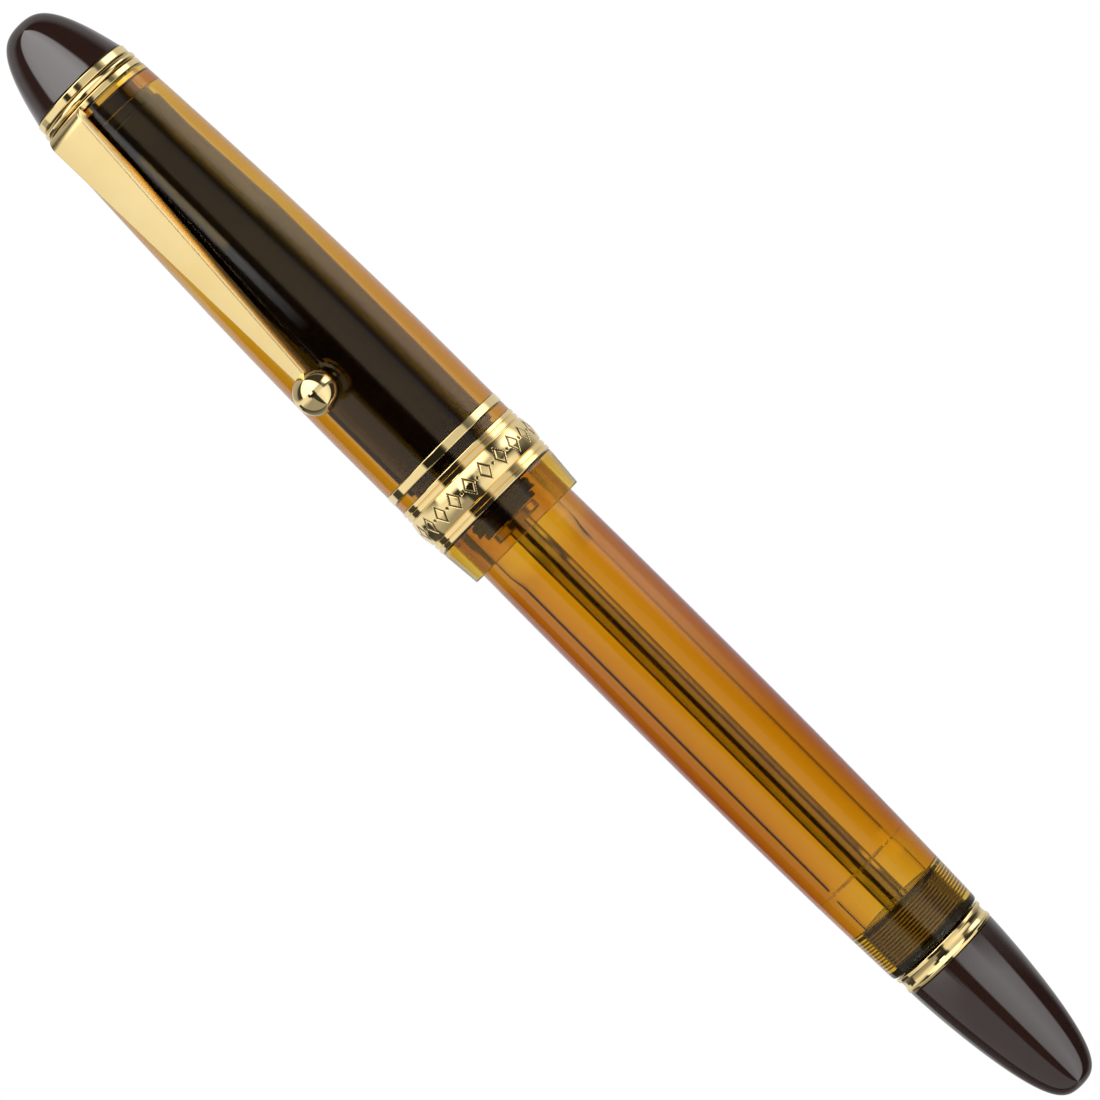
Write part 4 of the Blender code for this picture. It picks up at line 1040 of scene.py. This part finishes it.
def make_plunger():
    """The rod, the head that carries the seal, the nut that holds it and the valve at its tip."""
    bottom, rod_top = span("plunger_rod")
    rod = eased((0.0, rod_top, 0.0), (ROD, rod_top, EDGE), (ROD, bottom, 0.15), (0.0, bottom, 0.0))
    fit(lathe("rod_shaft", rod, around=96), "plunger", "steel", "plunger_rod")

    bottom, top = span("plunger_head")
    seal_bottom, seal_top = span("plunger_seal")
    seal_bottom, seal_top = seal_bottom - ROOM, seal_top + ROOM
    radius, groove = reach("plunger_head"), reach("plunger_head") - SEAL_GROOVE_DEPTH
    head = eased(
        (0.0, top, 0.0),
        (radius, top, 0.3),
        (radius, seal_top, 0.04),
        (groove, seal_top, 0.04),
        (groove, seal_bottom, 0.04),
        (radius, seal_bottom, 0.04),
        (radius, bottom, 0.08),
        (ROD_HOLE, bottom, 0.0),
        (ROD_HOLE, rod_top + ROOM, 0.0),
        (0.0, rod_top + ROOM, 0.0),
    )
    fit(lathe("seal_holder", head), "plunger", "feed_plastic", "plunger_head", paint=LINER)

    bottom, top = span("plunger_seal")
    middle, radius = (top + bottom) / 2, reach("plunger_seal")
    seal = eased(
        (radius, top, SEAL_EDGE),
        (radius - SEAL_GROOVE_DEPTH, middle, 0.15),
        (radius, bottom, SEAL_EDGE),
        (SEAL_BORE, bottom, 0.0),
        (SEAL_BORE, top, 0.0),
    )
    fit(lathe("seal_ring", seal), "plunger", "rubber", "plunger_seal")

    bottom, top = span("plunger_nut")
    nut = eased(
        (HEAD_NUT, top, EDGE),
        (HEAD_NUT, bottom, 0.15),
        (ROD_HOLE, bottom, 0.0),
        (ROD_HOLE, top, 0.0),
    )
    fit(lathe("head_nut", nut), "plunger", "steel", "plunger_nut")

    bottom, top = span("valve_tip")
    valve = eased(
        (0.0, top, 0.0), (VALVE_TIP, top, 0.25), (VALVE_BASE, bottom, EDGE), (0.0, bottom, 0.0)
    )
    fit(lathe("valve_cone", valve, around=64), "plunger", "rubber", "valve_tip")


# ---- knob
KNOB_SWELL = 1.3
KNOB_BLUNTNESS = 0.308
KNOB_ROWS = 110
KNOB_SOCKET = 4.25
SOCKET_ROOM = 0.2
COLLAR_BORE = 3.0


def make_knob():
    """The long knob: its radius is the top radius times (1 - (1 - share)^swell)^bluntness of the
    share of its length from the tip. A socket in its top takes the insert. The ring in front of it
    has a lip, a hollow waist and two fine steps."""
    bottom, top = span("blind_cap")
    radius = reach("blind_cap")
    share = np.linspace(1.0, 0.0, KNOB_ROWS) ** 2.0
    side = radius * (1 - (1 - share) ** KNOB_SWELL) ** KNOB_BLUNTNESS
    outer = np.stack([side, bottom + share * (top - bottom)], axis=-1)
    outer[0, 1] = top - FINE_EDGE
    floor = span("plunger_rod")[0] - SOCKET_ROOM
    inside = eased(
        (0.0, floor, 0.0),
        (KNOB_SOCKET, floor, 0.2),
        (KNOB_SOCKET, top, 0.0),
        (radius - FINE_EDGE, top, 0.0),
    )
    fit(lathe("knob_shell", inside, outer), "knob", "dark_resin", "blind_cap")

    bottom, top = span("tail_ring")
    radius = reach("tail_ring")
    ring = eased(
        (radius - 0.02, top, 0.1),
        (radius, top - 0.42, 0.06),
        (radius - 0.16, top - 0.5, 0.05),
        (radius - 0.24, (top + bottom) / 2 - 0.1, 0.35),
        (radius - 0.1, bottom + 0.4, 0.06),
        (radius - 0.02, bottom + 0.3, 0.06),
        (radius - 0.06, bottom, 0.08),
        (COLLAR_BORE, bottom, 0.0),
        (COLLAR_BORE, top, 0.0),
    )
    fit(lathe("tail_collar", ring), "knob", "gold_plate", "tail_ring")


make_finial()
make_ring("crown_flat_ring", "finial_ring", "cap", "gold_plate", ease=0.12)
make_ring("crown_bead", "bead_ring", "cap", "gold_plate", bulge=0.28)
make_ring("crown_collar", "collar_ring", "cap", "gold_plate", ease=0.08)
make_cap_tube()
make_inner_cap()
make_ring("narrow_band", "narrow_cap_band", "cap", "gold_plate", ease=0.1, bore=BAND_BORE)
make_wide_band()
make_clip_arm()
make_ball("clip_tip", "clip_ball", "clip", "gold_plate")
make_section()
make_ring("section_collar", "section_ring", "carrier", "gold_plate", ease=0.1, bore=4.4)
make_nib()
make_ball("writing_point", "nib_tipping", "pen", "steel", 16, 24)
make_feed()
make_barrel()
make_rear_plug()
make_ring("tail_gasket", "plug_gasket", "pen", "rubber", ease=SEAL_EDGE, bore=3.0, squeeze=0.2)
make_ring("barrel_seal", "section_oring", "pen", "rubber", ease=SEAL_EDGE, bore=4.4)
make_plunger()
make_knob()

CARRIED_OVER = {
    "finial_stud": LINER,
    "clip_washer": GOLD,
    "rod_seal": RUBBER,
    "packing_nut": BRASS,
    "knob_insert": BRASS,
    "rod_nut": BRASS,
}
for node_name, paint in CARRIED_OVER.items():
    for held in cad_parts[node_name].material_slots:
        held.material = paint

# ---- camera
VIEW_WIDTH = 109.02
CAMERA_DISTANCE = 550.0
SENSOR_WIDTH = 36.0
CAMERA_TURN = math.radians(30.5)
CAMERA_ROLL = math.radians(45.09)
AIM_HEIGHT = -27.04
AIM_SIDE = 0.346
NEAREST_SEEN = 0.01
FARTHEST_SEEN = 20.0

back = np.array([math.sin(CAMERA_TURN), -math.cos(CAMERA_TURN), 0.0])
level = np.array([math.cos(CAMERA_TURN), math.sin(CAMERA_TURN), 0.0])
upright = np.array([0.0, 0.0, 1.0])


def make_camera():
    """A level camera in front of the pen, rolled so that the pen lies across the frame's
    diagonal with its finial at the upper left."""
    data = bpy.data.cameras.new("camera")
    data.sensor_width = SENSOR_WIDTH
    data.lens = SENSOR_WIDTH * CAMERA_DISTANCE / VIEW_WIDTH
    data.clip_start = NEAREST_SEEN
    data.clip_end = FARTHEST_SEEN
    camera = bpy.data.objects.new("camera", data)
    bpy.context.scene.collection.objects.link(camera)
    across = math.cos(CAMERA_ROLL) * level - math.sin(CAMERA_ROLL) * upright
    up = math.cos(CAMERA_ROLL) * upright + math.sin(CAMERA_ROLL) * level
    aim = np.array([0.0, AXIS, AIM_HEIGHT]) + AIM_SIDE * level
    place = (aim + CAMERA_DISTANCE * back) * MM
    matrix = np.eye(4)
    matrix[:3, 0], matrix[:3, 1], matrix[:3, 2], matrix[:3, 3] = across, up, back, place
    camera.matrix_world = matrix.T.tolist()
    bpy.context.scene.camera = camera


# ---- light
# Brightness round the pen, by the angle from the camera's side, + towards the clip
LEVEL_LIGHT = [
    (-180, 0.8), (-130, 0.65), (-112, 0.65), (-100, 1.8), (-76, 2.0), (-70, 1.1), (-65, 0.35),
    (-57, 0.2), (-50, 0.15), (-45, 0.7), (-6, 0.75), (-1, 0.1), (3, 0.02), (38, 0.02), (43, 0.95),
    (105, 0.95), (108, 0.06), (128, 0.05), (133, 0.8), (180, 0.8),
]
REAR_LIGHT = [
    (-180, 0.7), (-141, 0.6), (-123, 0.4), (-109, 0.2), (-90, 0.25), (-76, 0.06), (-60, 0.03),
    (-51, 0.1), (-43, 0.8), (-6, 0.8), (-1, 0.1), (3, 0.02), (30, 0.02), (36, 0.9), (62, 0.8),
    (80, 0.6), (105, 0.5), (108, 0.06), (138, 0.05), (143, 0.8), (180, 0.7),
]
UPPER_LIGHT = [
    (-180, 0.7), (-112, 0.7), (-100, 2.2), (-74, 2.3), (-67, 1.0), (-59, 0.2), (-49, 0.04),
    (-43, 0.6), (-6, 0.62), (-1, 0.1), (9, 0.05), (14, 2.6), (24, 2.4), (28, 0.05), (38, 0.05),
    (43, 1.0), (180, 0.8),
]
HIGH_LIGHT = [
    (-180, 0.5), (-120, 0.35), (-100, 0.04), (-48, 0.04), (-41, 1.6), (-20, 2.1), (45, 1.8),
    (66, 1.5), (72, 0.05), (95, 0.05), (115, 0.4), (180, 0.5),
]
LOW_LIGHT = [
    (-180, 0.5), (-140, 0.3), (-122, 0.03), (-84, 0.03), (-78, 0.9), (-40, 1.2), (-2, 0.9),
    (2, 0.04), (23, 0.04), (27, 0.36), (103, 0.36), (108, 0.05), (140, 0.2), (180, 0.5),
]
# Each ramp takes over from the ones before it as a direction rises from the first to the second
LIGHTS = [
    (UPPER_LIGHT, 0.1, 0.14),
    (HIGH_LIGHT, 0.22, 0.36),
    (REAR_LIGHT, -0.01, -0.055),
    (LOW_LIGHT, -0.1, -0.26),
]
STRONGEST = 3.0
# How bright the far side is to light that is mirrored once inside the resin, and where that side
# starts, as the cosine from the camera
SEEN_INSIDE = 0.85
FAR_SIDE = -0.5
# Light has been mirrored once inside when it has crossed no more than two surfaces
TWO_CROSSINGS = 2.5
NOT_MIRRORED = 0.5


def light_ramp(tree, share, stops):
    """A ramp of brightness round the pen, held in greys as shares of the strongest light."""
    ramp = add_node(tree, "ShaderNodeValToRGB")
    elements = ramp.color_ramp.elements
    while len(elements) < len(stops):
        elements.new(0.5)
    for element, (angle, value) in zip(elements, stops):
        element.position = angle / 360 + 0.5
        grey = value / STRONGEST
        element.color = (grey, grey, grey, 1.0)
    tree.links.new(share, ramp.inputs["Fac"])
    return ramp.outputs["Color"]


def make_world():
    """Soft boxes and dark gaps as seen by gloss, paler behind clear resin and plain white behind
    what it lets straight through, an even light on dull surfaces and white behind everything."""
    world = bpy.data.worlds.new("studio")
    bpy.context.scene.world = world
    world.use_nodes = True
    tree = world.node_tree
    tree.nodes.clear()
    link = tree.links.new
    direction = add_node(tree, "ShaderNodeTexCoord").outputs["Generated"]

    def along(axis):
        made = add_node(tree, "ShaderNodeVectorMath", [(1, axis)], operation="DOT_PRODUCT")
        link(direction, made.inputs[0])
        return made.outputs["Value"]

    def mixed(share, below, above):
        made = add_node(tree, "ShaderNodeMix", data_type="RGBA")
        link(share, made.inputs["Factor"])
        link(below, made.inputs["A"])
        if isinstance(above, float):
            grey = above / STRONGEST
            made.inputs["B"].default_value = (grey, grey, grey, 1.0)
        else:
            link(above, made.inputs["B"])
        return made.outputs["Result"]

    def under(count, limit):
        made = add_node(tree, "ShaderNodeMath", [(1, limit)], operation="LESS_THAN")
        link(count, made.inputs[0])
        return made.outputs[0]

    def both(first, second):
        made = add_node(tree, "ShaderNodeMath", operation="MULTIPLY")
        link(first, made.inputs[0])
        link(second, made.inputs[1])
        return made.outputs[0]

    angle = add_node(tree, "ShaderNodeMath", operation="ARCTAN2")
    link(along(tuple(-level)), angle.inputs[0])
    link(along(tuple(back)), angle.inputs[1])
    share = add_node(tree, "ShaderNodeMath", [(1, 1 / TURN), (2, 0.5)], operation="MULTIPLY_ADD")
    link(angle.outputs[0], share.inputs[0])
    rise = along((0.0, 0.0, 1.0))
    colour = light_ramp(tree, share.outputs[0], LEVEL_LIGHT)
    for stops, near, far in LIGHTS:
        blend = add_node(tree, "ShaderNodeMapRange", [("From Min", near), ("From Max", far)])
        link(rise, blend.inputs["Value"])
        colour = mixed(blend.outputs["Result"], colour, light_ramp(tree, share.outputs[0], stops))
    rays = add_node(tree, "ShaderNodeLightPath").outputs
    through = rays["Is Transmission Ray"]
    behind = under(along(tuple(back)), FAR_SIDE)
    mirrored = both(both(through, behind), under(rays["Transmission Depth"], TWO_CROSSINGS))
    colour = mixed(mirrored, colour, SEEN_INSIDE)
    colour = mixed(both(through, under(rays["Glossy Depth"], NOT_MIRRORED)), colour, 1.0)
    for ray in ("Is Diffuse Ray", "Is Camera Ray"):
        colour = mixed(rays[ray], colour, 1.0)
    light = add_node(tree, "ShaderNodeBackground", [("Strength", STRONGEST)])
    link(colour, light.inputs["Color"])
    output = add_node(tree, "ShaderNodeOutputWorld")
    link(light.outputs["Background"], output.inputs["Surface"])


FLOOR_HEIGHT = -530.0
FLOOR_RADIUS = 3000.0
FLOOR_SPOKES = 96
FLOOR_RINGS = 12


def make_floor():
    """A wide pale disc well below the pen, of even rings and spokes."""
    spokes = FLOOR_SPOKES
    angle = np.arange(spokes) * TURN / spokes
    radius = np.linspace(0.0, FLOOR_RADIUS, FLOOR_RINGS + 1)[1:, None]
    rim = np.stack(
        np.broadcast_arrays(radius * np.cos(angle), radius * np.sin(angle), FLOOR_HEIGHT), axis=-1
    )
    points = np.vstack([rim.reshape(-1, 3), [0.0, 0.0, FLOOR_HEIGHT]])
    faces = grid_faces(len(radius), spokes, False, True) + end_faces(len(points) - 1, 0, spokes)
    floor = as_mesh("floor", points, faces)
    pale = (0.97, 0.97, 0.97)
    floor.data.materials.append(finish("pale_floor", pale, (1.0, 1.0, 1.0), TURNED_DULL, 8.0))
    floor.visible_glossy = False
    floor.visible_transmission = False


make_camera()
make_world()
make_floor()
bpy.context.scene.view_settings.view_transform = "Standard"
